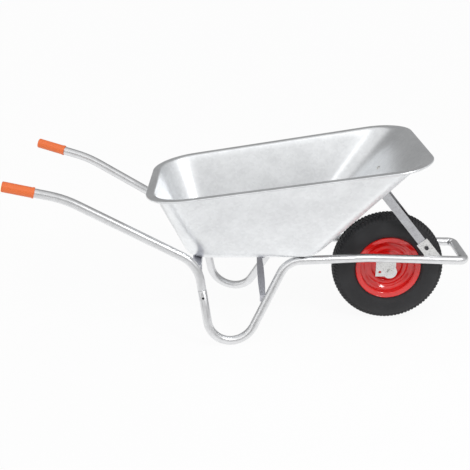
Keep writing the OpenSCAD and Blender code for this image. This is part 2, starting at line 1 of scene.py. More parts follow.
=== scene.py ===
"""Looks of a galvanised builder's wheelbarrow: finishes, detailed pieces, light and camera.

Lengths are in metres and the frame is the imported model's: +X forward to the wheel, +Y to the
barrow's left, +Z up, with the ground at Z = 0.
"""

import logging
import math
from collections.abc import Callable, Iterable, Sequence
from dataclasses import dataclass, field
from enum import Enum
from typing import Any

import bmesh  # noqa: E402
import bpy  # noqa: E402
from mathutils import Matrix, Vector  # noqa: E402

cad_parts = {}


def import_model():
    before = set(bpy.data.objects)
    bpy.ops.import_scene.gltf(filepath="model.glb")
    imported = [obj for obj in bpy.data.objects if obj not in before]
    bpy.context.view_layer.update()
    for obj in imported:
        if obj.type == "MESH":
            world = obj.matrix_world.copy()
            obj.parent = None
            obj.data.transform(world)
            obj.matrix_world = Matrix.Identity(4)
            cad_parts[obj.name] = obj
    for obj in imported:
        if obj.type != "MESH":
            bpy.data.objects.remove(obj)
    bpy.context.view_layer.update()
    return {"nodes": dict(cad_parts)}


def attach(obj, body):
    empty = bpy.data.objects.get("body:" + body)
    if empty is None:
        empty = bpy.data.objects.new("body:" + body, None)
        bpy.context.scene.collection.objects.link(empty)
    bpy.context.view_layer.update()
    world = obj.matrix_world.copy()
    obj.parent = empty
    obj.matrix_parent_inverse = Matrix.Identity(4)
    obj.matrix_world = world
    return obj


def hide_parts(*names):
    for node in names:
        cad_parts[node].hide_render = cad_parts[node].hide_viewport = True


LOG = logging.getLogger("barrow")
MM = 0.001
SAME_PLACE = 1e-6
NEARLY_STRAIGHT = math.radians(89)
FILLET_REACH = 0.48
Colour = tuple[float, float, float]
Point = tuple[float, float, float]
Pair = tuple[float, float]


class Slot(str, Enum):
    """The record's material slots."""

    TRAY = "tray_sheet"
    TUBE = "galvanised_tube"
    PLATE = "galvanised_plate"
    ZINC = "zinc_fastener"
    TYRE = "tyre_rubber"
    RUBBER = "black_rubber"
    RIM = "red_paint"
    GRIP = "orange_grip"
    BUSH = "bush_plastic"


class Body(str, Enum):
    """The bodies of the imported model."""

    FRAME = "root"
    WHEEL = "wheel"


class Side(Enum):
    """The two sides of the barrow, as the sign of Y."""

    RIGHT = -1
    LEFT = 1

    @property
    def word(self) -> str:
        """The side's name as it stands in the node names."""
        return self.name.lower()


# ---------------------------------------------------------------- shader maths


class Wire:
    """A shader socket that takes part in sums, products and comparisons."""

    def __init__(self, shop: "ShaderShop", socket: bpy.types.NodeSocket) -> None:
        """Wraps a socket.

        Args:
            shop: the maker of the tree that the socket belongs to.
            socket: the output socket.
        """
        self.shop = shop
        self.socket = socket

    def _math(self, operation: str, first: Any, second: Any) -> "Wire":
        """Adds one Math node for two values and returns its output."""
        return self.shop.add("ShaderNodeMath", {"operation": operation}, {0: first, 1: second})

    def __add__(self, other: Any) -> "Wire":
        """Sum."""
        return self._math("ADD", self, other)

    def __radd__(self, other: Any) -> "Wire":
        """Sum, reflected."""
        return self._math("ADD", other, self)

    def __sub__(self, other: Any) -> "Wire":
        """Difference."""
        return self._math("SUBTRACT", self, other)

    def __rsub__(self, other: Any) -> "Wire":
        """Difference, reflected."""
        return self._math("SUBTRACT", other, self)

    def __mul__(self, other: Any) -> "Wire":
        """Product."""
        return self._math("MULTIPLY", self, other)

    def __rmul__(self, other: Any) -> "Wire":
        """Product, reflected."""
        return self._math("MULTIPLY", other, self)

    def __abs__(self) -> "Wire":
        """Absolute value."""
        return self._math("ABSOLUTE", self, 0.0)

    def ramp(self, low: float, high: float, out_low: float = 0.0, out_high: float = 1.0) -> "Wire":
        """Maps low..high to out_low..out_high smoothly.

        Args:
            low: the value that gives out_low.
            high: the value that gives out_high.
            out_low: the result at and below low.
            out_high: the result at and above high.

        Returns:
            The mapped value.
        """
        return self.shop.add(
            "ShaderNodeMapRange",
            {"interpolation_type": "SMOOTHSTEP"},
            {0: self, 1: low, 2: high, 3: out_low, 4: out_high},
        )


class ShaderShop:
    """Makes the nodes of one material or of the world."""

    def __init__(self, tree: bpy.types.NodeTree) -> None:
        """Empties the tree.

        Args:
            tree: the node tree to fill.
        """
        self.tree = tree
        tree.nodes.clear()

    def add(
        self,
        kind: str,
        settings: dict[str, Any] | None = None,
        inputs: dict[int | str, Any] | None = None,
        output: int | str = 0,
    ) -> Wire:
        """Adds one node.

        Args:
            kind: the node's type.
            settings: the node's own properties, which are set first.
            inputs: values, or wires to link, by socket name or number.
            output: the output socket to return.

        Returns:
            The output, as a wire.
        """
        node = self.tree.nodes.new(kind)
        for key, value in (settings or {}).items():
            setattr(node, key, value)
        for key, value in (inputs or {}).items():
            if isinstance(value, Wire):
                self.tree.links.new(value.socket, node.inputs[key])
            else:
                node.inputs[key].default_value = value
        return Wire(self, node.outputs[output])

    def end(self, kind: str, inputs: dict[int | str, Wire]) -> None:
        """Adds the output node, which has no output of its own.

        Args:
            kind: the node's type.
            inputs: the wires to link, by socket name.
        """
        node = self.tree.nodes.new(kind)
        for key, wire in inputs.items():
            self.tree.links.new(wire.socket, node.inputs[key])

    def place(self) -> Wire:
        """Object coordinates, in metres."""
        return self.add("ShaderNodeTexCoord", output="Object")

    def ahead(self) -> Wire:
        """How far the surface faces forward, from -1 to 1."""
        facing = self.add("ShaderNodeTexCoord", output="Normal")
        return self.add("ShaderNodeSeparateXYZ", {}, {0: facing})

    def noise(self, scale: float, detail: float = 3.0) -> Wire:
        """Noise about 0.5.

        Args:
            scale: its cells in a metre.
            detail: how many finer octaves it has.

        Returns:
            The noise.
        """
        inputs = {"Vector": self.place(), "Scale": scale, "Detail": detail, "Roughness": 0.55}
        return self.add("ShaderNodeTexNoise", {}, inputs)

    def cells(self, scale: float) -> Wire:
        """A value for each of the cells that fill space, at a number of cells a metre."""
        colour = self.add("ShaderNodeTexVoronoi", {}, {"Vector": self.place(), "Scale": scale}, "Color")
        return self.add("ShaderNodeSeparateColor", {}, {0: colour})

    def blend(self, factor: Any, first: Any, second: Any) -> Wire:
        """Mixes two colours, which are wires or RGBA values."""
        return self.add("ShaderNodeMix", {"data_type": "RGBA"}, {0: factor, 6: first, 7: second}, 2)

    def bump(self, height: Wire, distance: float, strength: float, under: Wire | None = None) -> Wire:
        """A normal from a height.

        Args:
            height: the height, from 0 to 1.
            distance: the height of 1, in metres.
            strength: the share of the effect.
            under: a normal that this one is laid over.

        Returns:
            The normal.
        """
        inputs = {"Height": height, "Distance": distance, "Strength": strength}
        if under is not None:
            inputs["Normal"] = under
        return self.add("ShaderNodeBump", {}, inputs)


# ---------------------------------------------------------------- finishes


@dataclass(frozen=True)
class Finish:
    """A surface finish. Each kind adds its own nodes.

    Attributes:
        name: the finish's name.
        colour: its colour, in linear values.
        roughness: its roughness, from 0 to 1.
    """

    name: str
    colour: Colour
    roughness: float

    def shade(self, share: float) -> tuple[float, ...]:
        """The colour made lighter or darker by a share, with full alpha."""
        return (*(min(1.0, part * share) for part in self.colour), 1.0)

    def gloss(self, cloud: Wire, spread: float) -> Wire:
        """The roughness, which wanders by a spread with a cloud about 0.5."""
        return cloud * spread + (self.roughness - spread / 2)

    def material(self) -> bpy.types.Material:
        """The finish as a material, which is made once.

        Returns:
            The material.
        """
        title = f"look_{self.name}"
        made = bpy.data.materials.get(title)
        if made is not None:
            return made
        made = bpy.data.materials.new(title)
        made.use_nodes = True
        shop = ShaderShop(made.node_tree)
        shader = shop.add("ShaderNodeBsdfPrincipled", {}, self.sockets(shop))
        shop.end("ShaderNodeOutputMaterial", {"Surface": shader})
        return made

    def sockets(self, shop: ShaderShop) -> dict[int | str, Any]:
        """What the finish feeds to the shader's sockets.

        Args:
            shop: the maker of the material's nodes.

        Returns:
            The shader's inputs.
        """
        raise NotImplementedError


@dataclass(frozen=True)
class Galvanised(Finish):
    """Hot-dip zinc on steel: soft reflections, faint spangle and a slow wave.

    Attributes:
        spangle: zinc crystals in a metre.
        spangle_share: how much lighter or darker the zinc gets.
        wave: waves of the sheet in a metre.
        wave_depth: how deep they are, in metres.
        speckle: how dark the grit on rough zinc is, from 0 to 1.
        dull_ahead: the roughness that is added where the surface faces forward.
    """

    spangle: float = 90.0
    spangle_share: float = 0.05
    wave: float = 9.0
    wave_depth: float = 0.0006
    speckle: float = 0.0
    dull_ahead: float = 0.0

    def sockets(self, shop: ShaderShop) -> dict[int | str, Any]:
        """Spangle tints the zinc and its gloss, and two scales of bump break its reflections.

        Args:
            shop: the maker of the material's nodes.

        Returns:
            The shader's inputs.
        """
        flake = shop.cells(self.spangle)
        cloud = shop.noise(self.wave * 2.2, 4.0)
        mottle = flake * 0.4 + cloud.ramp(0.3, 0.7) * 0.6
        tint = shop.blend(
            mottle, self.shade(1.0 - self.spangle_share), self.shade(1.0 + self.spangle_share)
        )
        if self.speckle:
            grit = shop.cells(420.0).ramp(0.72, 0.9) * self.speckle
            tint = shop.blend(grit, tint, self.shade(0.45))
        gloss = self.gloss(cloud, 0.10)
        if self.dull_ahead:
            gloss = gloss + shop.ahead().ramp(0.25, 0.6) * self.dull_ahead
        wave = shop.bump(shop.noise(self.wave, 2.0), self.wave_depth * 4, 0.35)
        return {
            "Base Color": tint,
            "Metallic": 1.0,
            "Roughness": gloss,
            "Normal": shop.bump(shop.noise(500.0, 2.0), 0.00002, 0.2, wave),
        }


@dataclass(frozen=True)
class Enamel(Finish):
    """Glossy stoved paint over pressed steel."""

    def sockets(self, shop: ShaderShop) -> dict[int | str, Any]:
        """A clear gloss over a slightly uneven coat.

        Args:
            shop: the maker of the material's nodes.

        Returns:
            The shader's inputs.
        """
        cloud = shop.noise(30.0)
        return {
            "Base Color": shop.blend(cloud, self.shade(0.93), self.shade(1.07)),
            "Roughness": self.gloss(cloud, 0.10),
            "Coat Weight": 1.0,
            "Coat Roughness": 0.05,
            "Coat IOR": 1.5,
            "Normal": shop.bump(shop.noise(900.0, 1.0), 0.00005, 0.35),
        }


@dataclass(frozen=True)
class TyreRubber(Finish):
    """Moulded black rubber, with a dull bloom and fine mould grain."""

    def sockets(self, shop: ShaderShop) -> dict[int | str, Any]:
        """Bloom lightens the rubber in clouds, and grain roughens it.

        Args:
            shop: the maker of the material's nodes.

        Returns:
            The shader's inputs.
        """
        bloom = shop.noise(14.0, 5.0)
        grain = shop.noise(1300.0, 2.0)
        mottle = shop.noise(160.0)
        shade = bloom.ramp(0.3, 0.75) * 0.7 + mottle * 0.3
        return {
            "Base Color": shop.blend(shade, self.shade(0.75), self.shade(1.35)),
            "Roughness": self.gloss(bloom, 0.2),
            "Specular IOR Level": 0.34,
            "Normal": shop.bump(grain * 0.6 + mottle * 0.4, 0.00012, 0.6),
        }


@dataclass(frozen=True)
class Moulded(Finish):
    """Moulded plastic or soft rubber, with a number of grains in a metre."""

    grain: float = 900.0

    def sockets(self, shop: ShaderShop) -> dict[int | str, Any]:
        """A fine grain, and clouds of slightly different tone.

        Args:
            shop: the maker of the material's nodes.

        Returns:
            The shader's inputs.
        """
        cloud = shop.noise(45.0)
        return {
            "Base Color": shop.blend(cloud, self.shade(0.90), self.shade(1.10)),
            "Roughness": self.gloss(cloud, 0.12),
            "Normal": shop.bump(shop.noise(self.grain, 2.0), 0.00008, 0.5),
        }


SHEET = Galvanised(
    "galvanised_sheet",
    (0.89, 0.905, 0.92),
    0.30,
    spangle=110.0,
    spangle_share=0.09,
    wave=3.5,
    wave_depth=0.0014,
    dull_ahead=0.25,
)
TUBE = Galvanised(
    "galvanised_tube",
    (0.80, 0.805, 0.815),
    0.36,
    spangle=160.0,
    spangle_share=0.06,
    wave=22.0,
    wave_depth=0.0002,
)
PLATE = Galvanised(
    "galvanised_plate", (0.80, 0.80, 0.79), 0.42, spangle=240.0, speckle=0.5, wave=25.0
)
STAY = Galvanised(
    "galvanised_stay",
    (0.57, 0.575, 0.595),
    0.44,
    spangle=300.0,
    spangle_share=0.12,
    speckle=0.25,
    wave=18.0,
)
# A darker, bluer copy of the galvanised finish for the cross bar and the leg brace: the shade of the tray
# above them is painted into its colour.
STRUT_SHADED = Galvanised(
    "galvanised_strut", (0.62, 0.625, 0.67), 0.46, spangle=300.0, speckle=0.12, wave=18.0
)
WELD = Galvanised("galvanised_weld", (0.60, 0.61, 0.62), 0.45, spangle=500.0, wave=120.0)
ZINC = Galvanised(
    "zinc_plate", (0.72, 0.72, 0.70), 0.28, spangle=400.0, spangle_share=0.02, wave=40.0
)
# Nearly black zinc: painted shade on the stay feet's bolts and the handles' cross bolts, which darkens
# them like the shadow about those bolt heads and in the handles' bolt holes.
DARK_SHADE_ZINC = Galvanised(
    "dark_oxide", (0.07, 0.07, 0.075), 0.45, spangle=400.0, spangle_share=0.02, wave=40.0
)
RED = Enamel("red_enamel", (0.80, 0.009, 0.007), 0.20)
RUBBER = TyreRubber("tyre_rubber", (0.026, 0.026, 0.028), 0.55)
SOFT_BLACK = Moulded("soft_black_rubber", (0.030, 0.030, 0.032), 0.62)
NYLON = Moulded("dark_nylon", (0.035, 0.035, 0.038), 0.42)
ORANGE = Moulded("orange_grip", (1.0, 0.20, 0.052), 0.36, grain=700.0)


# ---------------------------------------------------------------- mesh making


@dataclass
class Shape:
    """Vertices and faces of one mesh while it is made."""

    points: list[Vector] = field(default_factory=list)
    faces: list[tuple[int, ...]] = field(default_factory=list)

    def ring(self, points: Iterable[Vector]) -> list[int]:
        """Adds a row of points.

        Args:
            points: the points.

        Returns:
            Their numbers.
        """
        start = len(self.points)
        self.points.extend(points)
        return list(range(start, len(self.points)))

    def join(self, first: Sequence[int], second: Sequence[int]) -> None:
        """Joins two closed rings of the same length with four-sided faces.

        Args:
            first: the first ring's numbers.
            second: the second ring's numbers.
        """
        count = len(first)
        for i in range(count):
            j = (i + 1) % count
            self.faces.append((first[i], first[j], second[j], second[i]))

    def loft(self, rows: Iterable[Iterable[Vector]], wrap: bool = False) -> list[list[int]]:
        """Joins rows of points one after another.

        Args:
            rows: the rows, each a closed ring of the same length.
            wrap: whether the last row joins the first.

        Returns:
            The numbers of each row's points.
        """
        rings = [self.ring(row) for row in rows]
        for first, second in zip(rings, rings[1:]):
            self.join(first, second)
        if wrap:
            self.join(rings[-1], rings[0])
        return rings

    def cap(self, rings: Sequence[Sequence[int]]) -> None:
        """Closes the first and the last ring of a loft with one face each."""
        self.faces.append(tuple(rings[0]))
        self.faces.append(tuple(reversed(rings[-1])))

    def fan(self, ring: Sequence[int], middle: Vector) -> None:
        """Closes a ring with triangles to a point.

        Args:
            ring: the ring's numbers.
            middle: the point.
        """
        centre = self.ring([middle])[0]
        count = len(ring)
        for i in range(count):
            self.faces.append((ring[i], ring[(i + 1) % count], centre))

    def piece(self, name: str, finish: Finish, sharp: float = 40.0) -> bpy.types.Object:
        """Makes the object.

        Args:
            name: the object's name.
            finish: its finish.
            sharp: the angle in degrees above which an edge stays sharp.

        Returns:
            The object, linked to the scene.
        """
        mesh = bpy.data.meshes.new(name)
        mesh.from_pydata([tuple(p) for p in self.points], [], self.faces)
        tidy = bmesh.new()
        tidy.from_mesh(mesh)
        bmesh.ops.remove_doubles(tidy, verts=tidy.verts, dist=SAME_PLACE)
        bmesh.ops.recalc_face_normals(tidy, faces=tidy.faces)
        tidy.to_mesh(mesh)
        tidy.free()
        return finished(name, mesh, finish, sharp)


def smooth(mesh: bpy.types.Mesh, sharp: float) -> None:
    """Shades a mesh smooth, apart from edges sharper than an angle in degrees."""
    mesh.shade_smooth()
    mesh.set_sharp_from_angle(angle=math.radians(sharp))


def finished(name: str, mesh: bpy.types.Mesh, finish: Finish, sharp: float) -> bpy.types.Object:
    """Links a mesh as a smooth object with its material.

    Args:
        name: the object's name.
        mesh: its mesh.
        finish: its finish.
        sharp: the angle in degrees above which an edge stays sharp.

    Returns:
        The object.
    """
    mesh.materials.clear()
    mesh.materials.append(finish.material())
    smooth(mesh, sharp)
    return linked(name, mesh)


def linked(name: str, data: bpy.types.ID) -> bpy.types.Object:
    """Makes an object and links it to the scene.

    Args:
        name: the object's name.
        data: its mesh, lamp or camera.

    Returns:
        The object.
    """
    made = bpy.data.objects.new(name, data)
    bpy.context.scene.collection.objects.link(made)
    return made


def baked(source: bpy.types.Object) -> bpy.types.Object:
    """Turns an object with modifiers into one with a plain mesh, in place.

    Args:
        source: the object.

    Returns:
        The same object.
    """
    bpy.context.view_layer.update()
    graph = bpy.context.evaluated_depsgraph_get()
    mesh = bpy.data.meshes.new_from_object(source.evaluated_get(graph))
    mesh.name = source.name
    source.modifiers.clear()
    source.data = mesh
    return source


def hand_over(piece: bpy.types.Object, body: Body, slot: Slot, *nodes: str) -> bpy.types.Object:
    """Puts a piece on the body that it moves with and hides the nodes that it stands for.

    Args:
        piece: the piece.
        body: the body that it moves with.
        slot: not used.
        nodes: the nodes that it stands for.

    Returns:
        The piece.
    """
    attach(piece, body.value)
    if nodes:
        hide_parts(*nodes)
    LOG.info("%s: %d faces", piece.name, len(piece.data.polygons))
    return piece


def circle(count: int, radius: float) -> list[Pair]:
    """Points of a circle about the origin."""
    turn = math.tau / count
    return [(radius * math.cos(i * turn), radius * math.sin(i * turn)) for i in range(count)]


def filleted(points: Sequence[Point], steps: int) -> list[Pair]:
    """Rounds the corners of an open outline.

    Args:
        points: the corners, each with its radius.
        steps: the pieces of each arc.

    Returns:
        The outline's points.
    """
    line = [(points[0][0], points[0][1])]
    for i in range(1, len(points) - 1):
        corner = Vector(points[i][:2])
        before = Vector(points[i - 1][:2]) - corner
        after = Vector(points[i + 1][:2]) - corner
        radius = points[i][2]
        half = before.angle(after) / 2
        if radius <= 0 or half > NEARLY_STRAIGHT:
            line.append(tuple(corner))
            continue
        back = min(radius / math.tan(half), FILLET_REACH * min(before.length, after.length))
        first = corner + before.normalized() * back
        last = corner + after.normalized() * back
        for s in range(steps + 1):
            t = s / steps
            line.append(tuple(first * (1 - t) ** 2 + corner * (2 * t * (1 - t)) + last * t**2))
    line.append((points[-1][0], points[-1][1]))
    return line


def turned(outline: Sequence[Pair], count: int) -> Shape:
    """Turns a closed outline about the axle.

    Args:
        outline: the outline's points, as radius and place along the axle, in millimetres.
        count: the steps of the turn.

    Returns:
        The closed shape.
    """
    shape = Shape()
    shape.loft(
        ([wheel_point(r, a, math.tau * k / count) for k in range(count)] for r, a in outline), wrap=True
    )
    return shape


# ---------------------------------------------------------------- tubes

BEND_STEP = math.radians(3)
TUBE_SIDES = 40
TUBE_LIP = 0.4 * MM
TUBE_SHARP = 50


@dataclass(frozen=True)
class Station:
    """One place on a tube's centre line.

    Attributes:
        place: the place.
        along: the tube's direction there.
        corner: the number of the bend that it lies in, or -1 on a straight.
        share: how far through the bend it is, from 0 to 1.
        inner: the direction to the bend's centre.
    """

    place: Vector
    along: Vector
    corner: int = -1
    share: float = 0.0
    inner: Vector = field(default_factory=Vector)


def stations(path: Sequence[Vector], radii: Sequence[float]) -> list[Station]:
    """Centre line of a bent tube: straights with round bends.

    Args:
        path: the corner points.
        radii: the bend radius at each corner, which is 0 at the ends.

    Returns:
        The places from one end to the other.
    """
    line = [Station(path[0], (path[1] - path[0]).normalized())]
    for i in range(1, len(path) - 1):
        u = (path[i] - path[i - 1]).normalized()
        w = (path[i + 1] - path[i]).normalized()
        turn = u.angle(w)
        start = path[i] - u * (radii[i] * math.tan(turn / 2))
        to_centre = (w - u).normalized()
        centre = path[i] + to_centre * (radii[i] / math.cos(turn / 2))
        arm = start - centre
        axis = u.cross(w).normalized()
        count = max(3, round(turn / BEND_STEP))
        for k in range(count + 1):
            spin = Matrix.Rotation(turn * k / count, 3, axis)
            place = centre + spin @ arm
            line.append(Station(place, spin @ u, i, k / count, (centre - place).normalized()))
    line.append(Station(path[-1], (path[-1] - path[-2]).normalized()))
    return line


def carried_frames(line: Sequence[Station]) -> list[tuple[Vector, Vector]]:
    """Two directions across the tube at each station, carried along without twist.

    Args:
        line: the centre line.

    Returns:
        The two directions at each station.
    """
    side = line[0].along.orthogonal().normalized()
    frames = []
    along = line[0].along
    for stop in line:
        side = along.rotation_difference(stop.along) @ side
        side = (side - stop.along * side.dot(stop.along)).normalized()
        along = stop.along
        frames.append((side, stop.along.cross(side)))
    return frames


def tube_shape(line: Sequence[Station], outer: Callable[[Station, Vector], float]) -> Shape:
    """A tube with a wall along a centre line.

    Args:
        line: the centre line.
        outer: gives the outside radius at a station towards a direction.

    Returns:
        The closed shape.
    """
    frames = carried_frames(line)
    turns = circle(TUBE_SIDES, 1.0)

    def row(index: int, drop: float, back: float) -> list[Vector]:
        """One ring.

        Args:
            index: the number of its station.
            drop: how far it lies inside the outer surface.
            back: how far it lies along the tube from its station.

        Returns:
            The ring's points.
        """
        stop = line[index]
        side, up = frames[index]
        found = []
        for c, s in turns:
            way = side * c + up * s
            found.append(stop.place + stop.along * back + way * (outer(stop, way) - drop))
        return found

    lip, wall, last = TUBE_LIP, TUBE_WALL, len(line) - 1
    rows = [row(0, lip, 0.0), row(0, 0.0, lip)]
    rows += [row(i, 0.0, 0.0) for i in range(1, last)]
    rows += [row(last, 0.0, -lip), row(last, lip, 0.0)]
    rows += [row(last, wall - lip, 0.0), row(last, wall, -lip)]
    rows += [row(i, wall, 0.0) for i in range(last - 1, 0, -1)]
    rows += [row(0, wall, lip), row(0, wall - lip, 0.0)]
    shape = Shape()
    shape.loft(rows, wrap=True)
    return shape


# ---------------------------------------------------------------- geometry nodes

GROWN_SHARP = 35


class GeometryShop:
    """Makes one Geometry Nodes tree with named inputs."""

    def __init__(self, name: str, inputs: Sequence[tuple[str, str]]) -> None:
        """Starts the tree.

        Args:
            name: the tree's name.
            inputs: the name and socket type of each input after the geometry.
        """
        self.tree = bpy.data.node_groups.new(name, "GeometryNodeTree")
        face = self.tree.interface
        face.new_socket("Geometry", in_out="INPUT", socket_type="NodeSocketGeometry")
        face.new_socket("Geometry", in_out="OUTPUT", socket_type="NodeSocketGeometry")
        for title, kind in inputs:
            face.new_socket(title, in_out="INPUT", socket_type=kind)
        self.given = self.tree.nodes.new("NodeGroupInput").outputs

    def add(
        self, kind: str, settings: dict[str, Any], inputs: dict[int | str, Any], output: int | str = 0
    ) -> bpy.types.NodeSocket:
        """Adds a node.

        Args:
            kind: the node's type.
            settings: the node's own properties, which are set first.
            inputs: values, or sockets to link, by socket name or number.
            output: the output socket to return.

        Returns:
            The output socket.
        """
        node = self.tree.nodes.new(kind)
        for key, value in settings.items():
            setattr(node, key, value)
        for key, value in inputs.items():
            if isinstance(value, bpy.types.NodeSocket):
                self.tree.links.new(value, node.inputs[key])
            else:
                node.inputs[key].default_value = value
        return node.outputs[output]

    def copies(self, points: Any, rotation: Any) -> bpy.types.NodeTree:
        """Puts a copy of the Template input on each point and closes the tree.

        Args:
            points: the points.
            rotation: how each copy is turned.

        Returns:
            The tree.
        """
        given = {"Object": self.given["Template"]}
        part = self.add("GeometryNodeObjectInfo", {"transform_space": "ORIGINAL"}, given, "Geometry")
        inputs = {"Points": points, "Instance": part, "Rotation": rotation}
        return self.end(self.add("GeometryNodeInstanceOnPoints", {}, inputs))

    def end(self, geometry: Any) -> bpy.types.NodeTree:
        """Realizes the instances, sets the material and closes the tree.

        Args:
            geometry: the result's socket.

        Returns:
            The tree.
        """
        real = self.add("GeometryNodeRealizeInstances", {}, {"Geometry": geometry})
        worn = {"Geometry": real, "Material": self.given["Material"]}
        out = self.tree.nodes.new("NodeGroupOutput")
        self.tree.links.new(self.add("GeometryNodeSetMaterial", {}, worn), out.inputs[0])
        return self.tree


def ring_tree() -> bpy.types.NodeTree:
    """A tree that turns copies of a template about the Y axis through a centre.

    Returns:
        The tree, with inputs Template, Count, Start, Centre and Material.
    """
    shop = GeometryShop(
        "ring_of_copies",
        [
            ("Template", "NodeSocketObject"),
            ("Count", "NodeSocketInt"),
            ("Start", "NodeSocketFloat"),
            ("Centre", "NodeSocketVector"),
            ("Material", "NodeSocketMaterial"),
        ],
    )
    given = shop.given
    points = shop.add("GeometryNodePoints", {}, {"Count": given["Count"], "Position": given["Centre"]})
    number = shop.add("GeometryNodeInputIndex", {}, {})
    share = shop.add("ShaderNodeMath", {"operation": "DIVIDE"}, {0: number, 1: given["Count"]})
    sum_of = {0: share, 1: math.tau, 2: given["Start"]}
    turn = shop.add("ShaderNodeMath", {"operation": "MULTIPLY_ADD"}, sum_of)
    return shop.copies(points, shop.add("ShaderNodeCombineXYZ", {}, {"Y": turn}))


def aimed_tree() -> bpy.types.NodeTree:
    """A tree that puts a template on each point, its Z axis along the point's aim.

    Returns:
        The tree, with inputs Template and Material.
    """
    shop = GeometryShop(
        "aimed_copies", [("Template", "NodeSocketObject"), ("Material", "NodeSocketMaterial")]
    )
    wanted = {"Name": "aim"}
    kind = {"data_type": "FLOAT_VECTOR"}
    aim = shop.add("GeometryNodeInputNamedAttribute", kind, wanted, "Attribute")
    toward = shop.add("FunctionNodeAlignRotationToVector", {"axis": "Z"}, {"Vector": aim})
    return shop.copies(shop.given["Geometry"], toward)


def weld_tree() -> bpy.types.NodeTree:
    """A tree that lays overlapping ripples of a weld bead along the object's edges.

    Returns:
        The tree, with inputs Radius, Pitch and Material.
    """
    shop = GeometryShop(
        "weld_bead",
        [
            ("Radius", "NodeSocketFloat"),
            ("Pitch", "NodeSocketFloat"),
            ("Material", "NodeSocketMaterial"),
        ],
    )
    line = shop.add("GeometryNodeMeshToCurve", {}, {"Mesh": shop.given["Geometry"]})
    spaced = {"Curve": line, "Length": shop.given["Pitch"]}
    even = shop.add("GeometryNodeResampleCurve", {"mode": "LENGTH"}, spaced)
    tangent = shop.add("GeometryNodeInputTangent", {}, {})
    turn = shop.add("FunctionNodeAlignRotationToVector", {"axis": "Z"}, {"Vector": tangent})
    drop = shop.add("GeometryNodeMeshUVSphere", {}, {"Segments": 10, "Rings": 6, "Radius": 1.0})
    limits = {2: 0.85, 3: 1.12, "Seed": 7}
    jitter = shop.add("FunctionNodeRandomValue", {"data_type": "FLOAT"}, limits, output=1)
    size = shop.add("ShaderNodeMath", {"operation": "MULTIPLY"}, {0: jitter, 1: shop.given["Radius"]})
    thin = shop.add("ShaderNodeMath", {"operation": "MULTIPLY"}, {0: size, 1: 0.75})
    scale = shop.add("ShaderNodeCombineXYZ", {}, {"X": size, "Y": size, "Z": thin})
    points = shop.add("GeometryNodeCurveToPoints", {"mode": "EVALUATED"}, {"Curve": even})
    laid = {"Points": points, "Instance": drop, "Rotation": turn, "Scale": scale}
    return shop.end(shop.add("GeometryNodeInstanceOnPoints", {}, laid))


def grown_by(host: bpy.types.Object, tree: bpy.types.NodeTree, **values: Any) -> bpy.types.Object:
    """Runs a tree on an object and keeps its result as a plain mesh.

    Args:
        host: the object whose mesh the tree reads.
        tree: the tree.
        values: a value for each of the tree's inputs, by its name in small letters.

    Returns:
        The object with its new mesh.
    """
    step = host.modifiers.new(tree.name, "NODES")
    step.node_group = tree
    for item in tree.interface.items_tree:
        key = item.name.lower()
        if item.in_out == "INPUT" and key in values:
            step[item.identifier] = values[key]
    name = host.name
    baked(host)
    host.data.name = name
    smooth(host.data, GROWN_SHARP)
    return host


def points_object(
    name: str, points: Sequence[Vector], edges: Sequence[tuple[int, int]] = ()
) -> bpy.types.Object:
    """An object that holds only points and edges.

    Args:
        name: its name.
        points: its points.
        edges: the numbers of each edge's two points.

    Returns:
        The object.
    """
    mesh = bpy.data.meshes.new(name)
    mesh.from_pydata([tuple(p) for p in points], list(edges), [])
    return linked(name, mesh)


def discard(piece: bpy.types.Object) -> None:
    """Removes a helper object and its mesh.

    Args:
        piece: the object.
    """
    mesh = piece.data
    bpy.data.objects.remove(piece)
    bpy.data.meshes.remove(mesh)


# ---------------------------------------------------------------- the barrow's main places

AXLE_X = 506.5


def spot(x: float, y: float, z: float) -> Vector:
    """A point given in millimetres, with X from the axle, in the model's frame."""
    return Vector(((x + AXLE_X) * MM, y * MM, z * MM))


def on(side: Side, point: Vector) -> Vector:
    """A point or direction of the left half, on the given side."""
    return Vector((point.x, side.value * point.y, point.z))


AXLE = spot(0, 0, 200)
TUBE_R = 15 * MM
TUBE_WALL = 1.5 * MM
DECK = 288.0
MOUTH = spot(-662.37, 216.96, 201)
FOOT = spot(-604.24, 271.82, -162.28)
LEG_TOP = spot(-372, 131, 271)
KNEE = spot(-77, 81, 261)
NOSE = spot(258, 89, 253)
ELBOW = spot(-676.93, 203.22, 292)
SHOULDER = spot(-1099, 238, 535)
GRIP_END = spot(-1286, 264, 585)
LEG_AXIS = (ELBOW - MOUTH).normalized()
GRIP_AXIS = (SHOULDER - GRIP_END).normalized()
BOLT_DEPTH = 25 * MM
BOLT_PLACE = MOUTH - LEG_AXIS * BOLT_DEPTH
BOLT_AXIS = (Vector((0, 1, 0)) - LEG_AXIS * LEG_AXIS.y).normalized()
BOLT_HOLE_R = 4.25
BOLT_HALF = 25.0
HOLE_STEPS = 32


def lathe(profile: Sequence[Pair], count: int, origin: Vector, axis: Vector) -> Shape:
    """Turns an open profile about an axis and closes its ends.

    Args:
        profile: radius and height along the axis, in millimetres, from one end to the other.
        count: the steps of the turn.
        origin: the point of height 0.
        axis: the direction of the axis.

    Returns:
        The closed shape.
    """
    side = axis.orthogonal().normalized()
    up = axis.cross(side)
    shape = Shape()
    rings = shape.loft(
        [origin + axis * (h * MM) + (side * c + up * s) for c, s in circle(count, r * MM)]
        for r, h in profile
        if r > 0
    )
    for ring, height in ((rings[0], profile[0][1]), (rings[-1], profile[-1][1])):
        shape.fan(ring, origin + axis * (height * MM))
    return shape


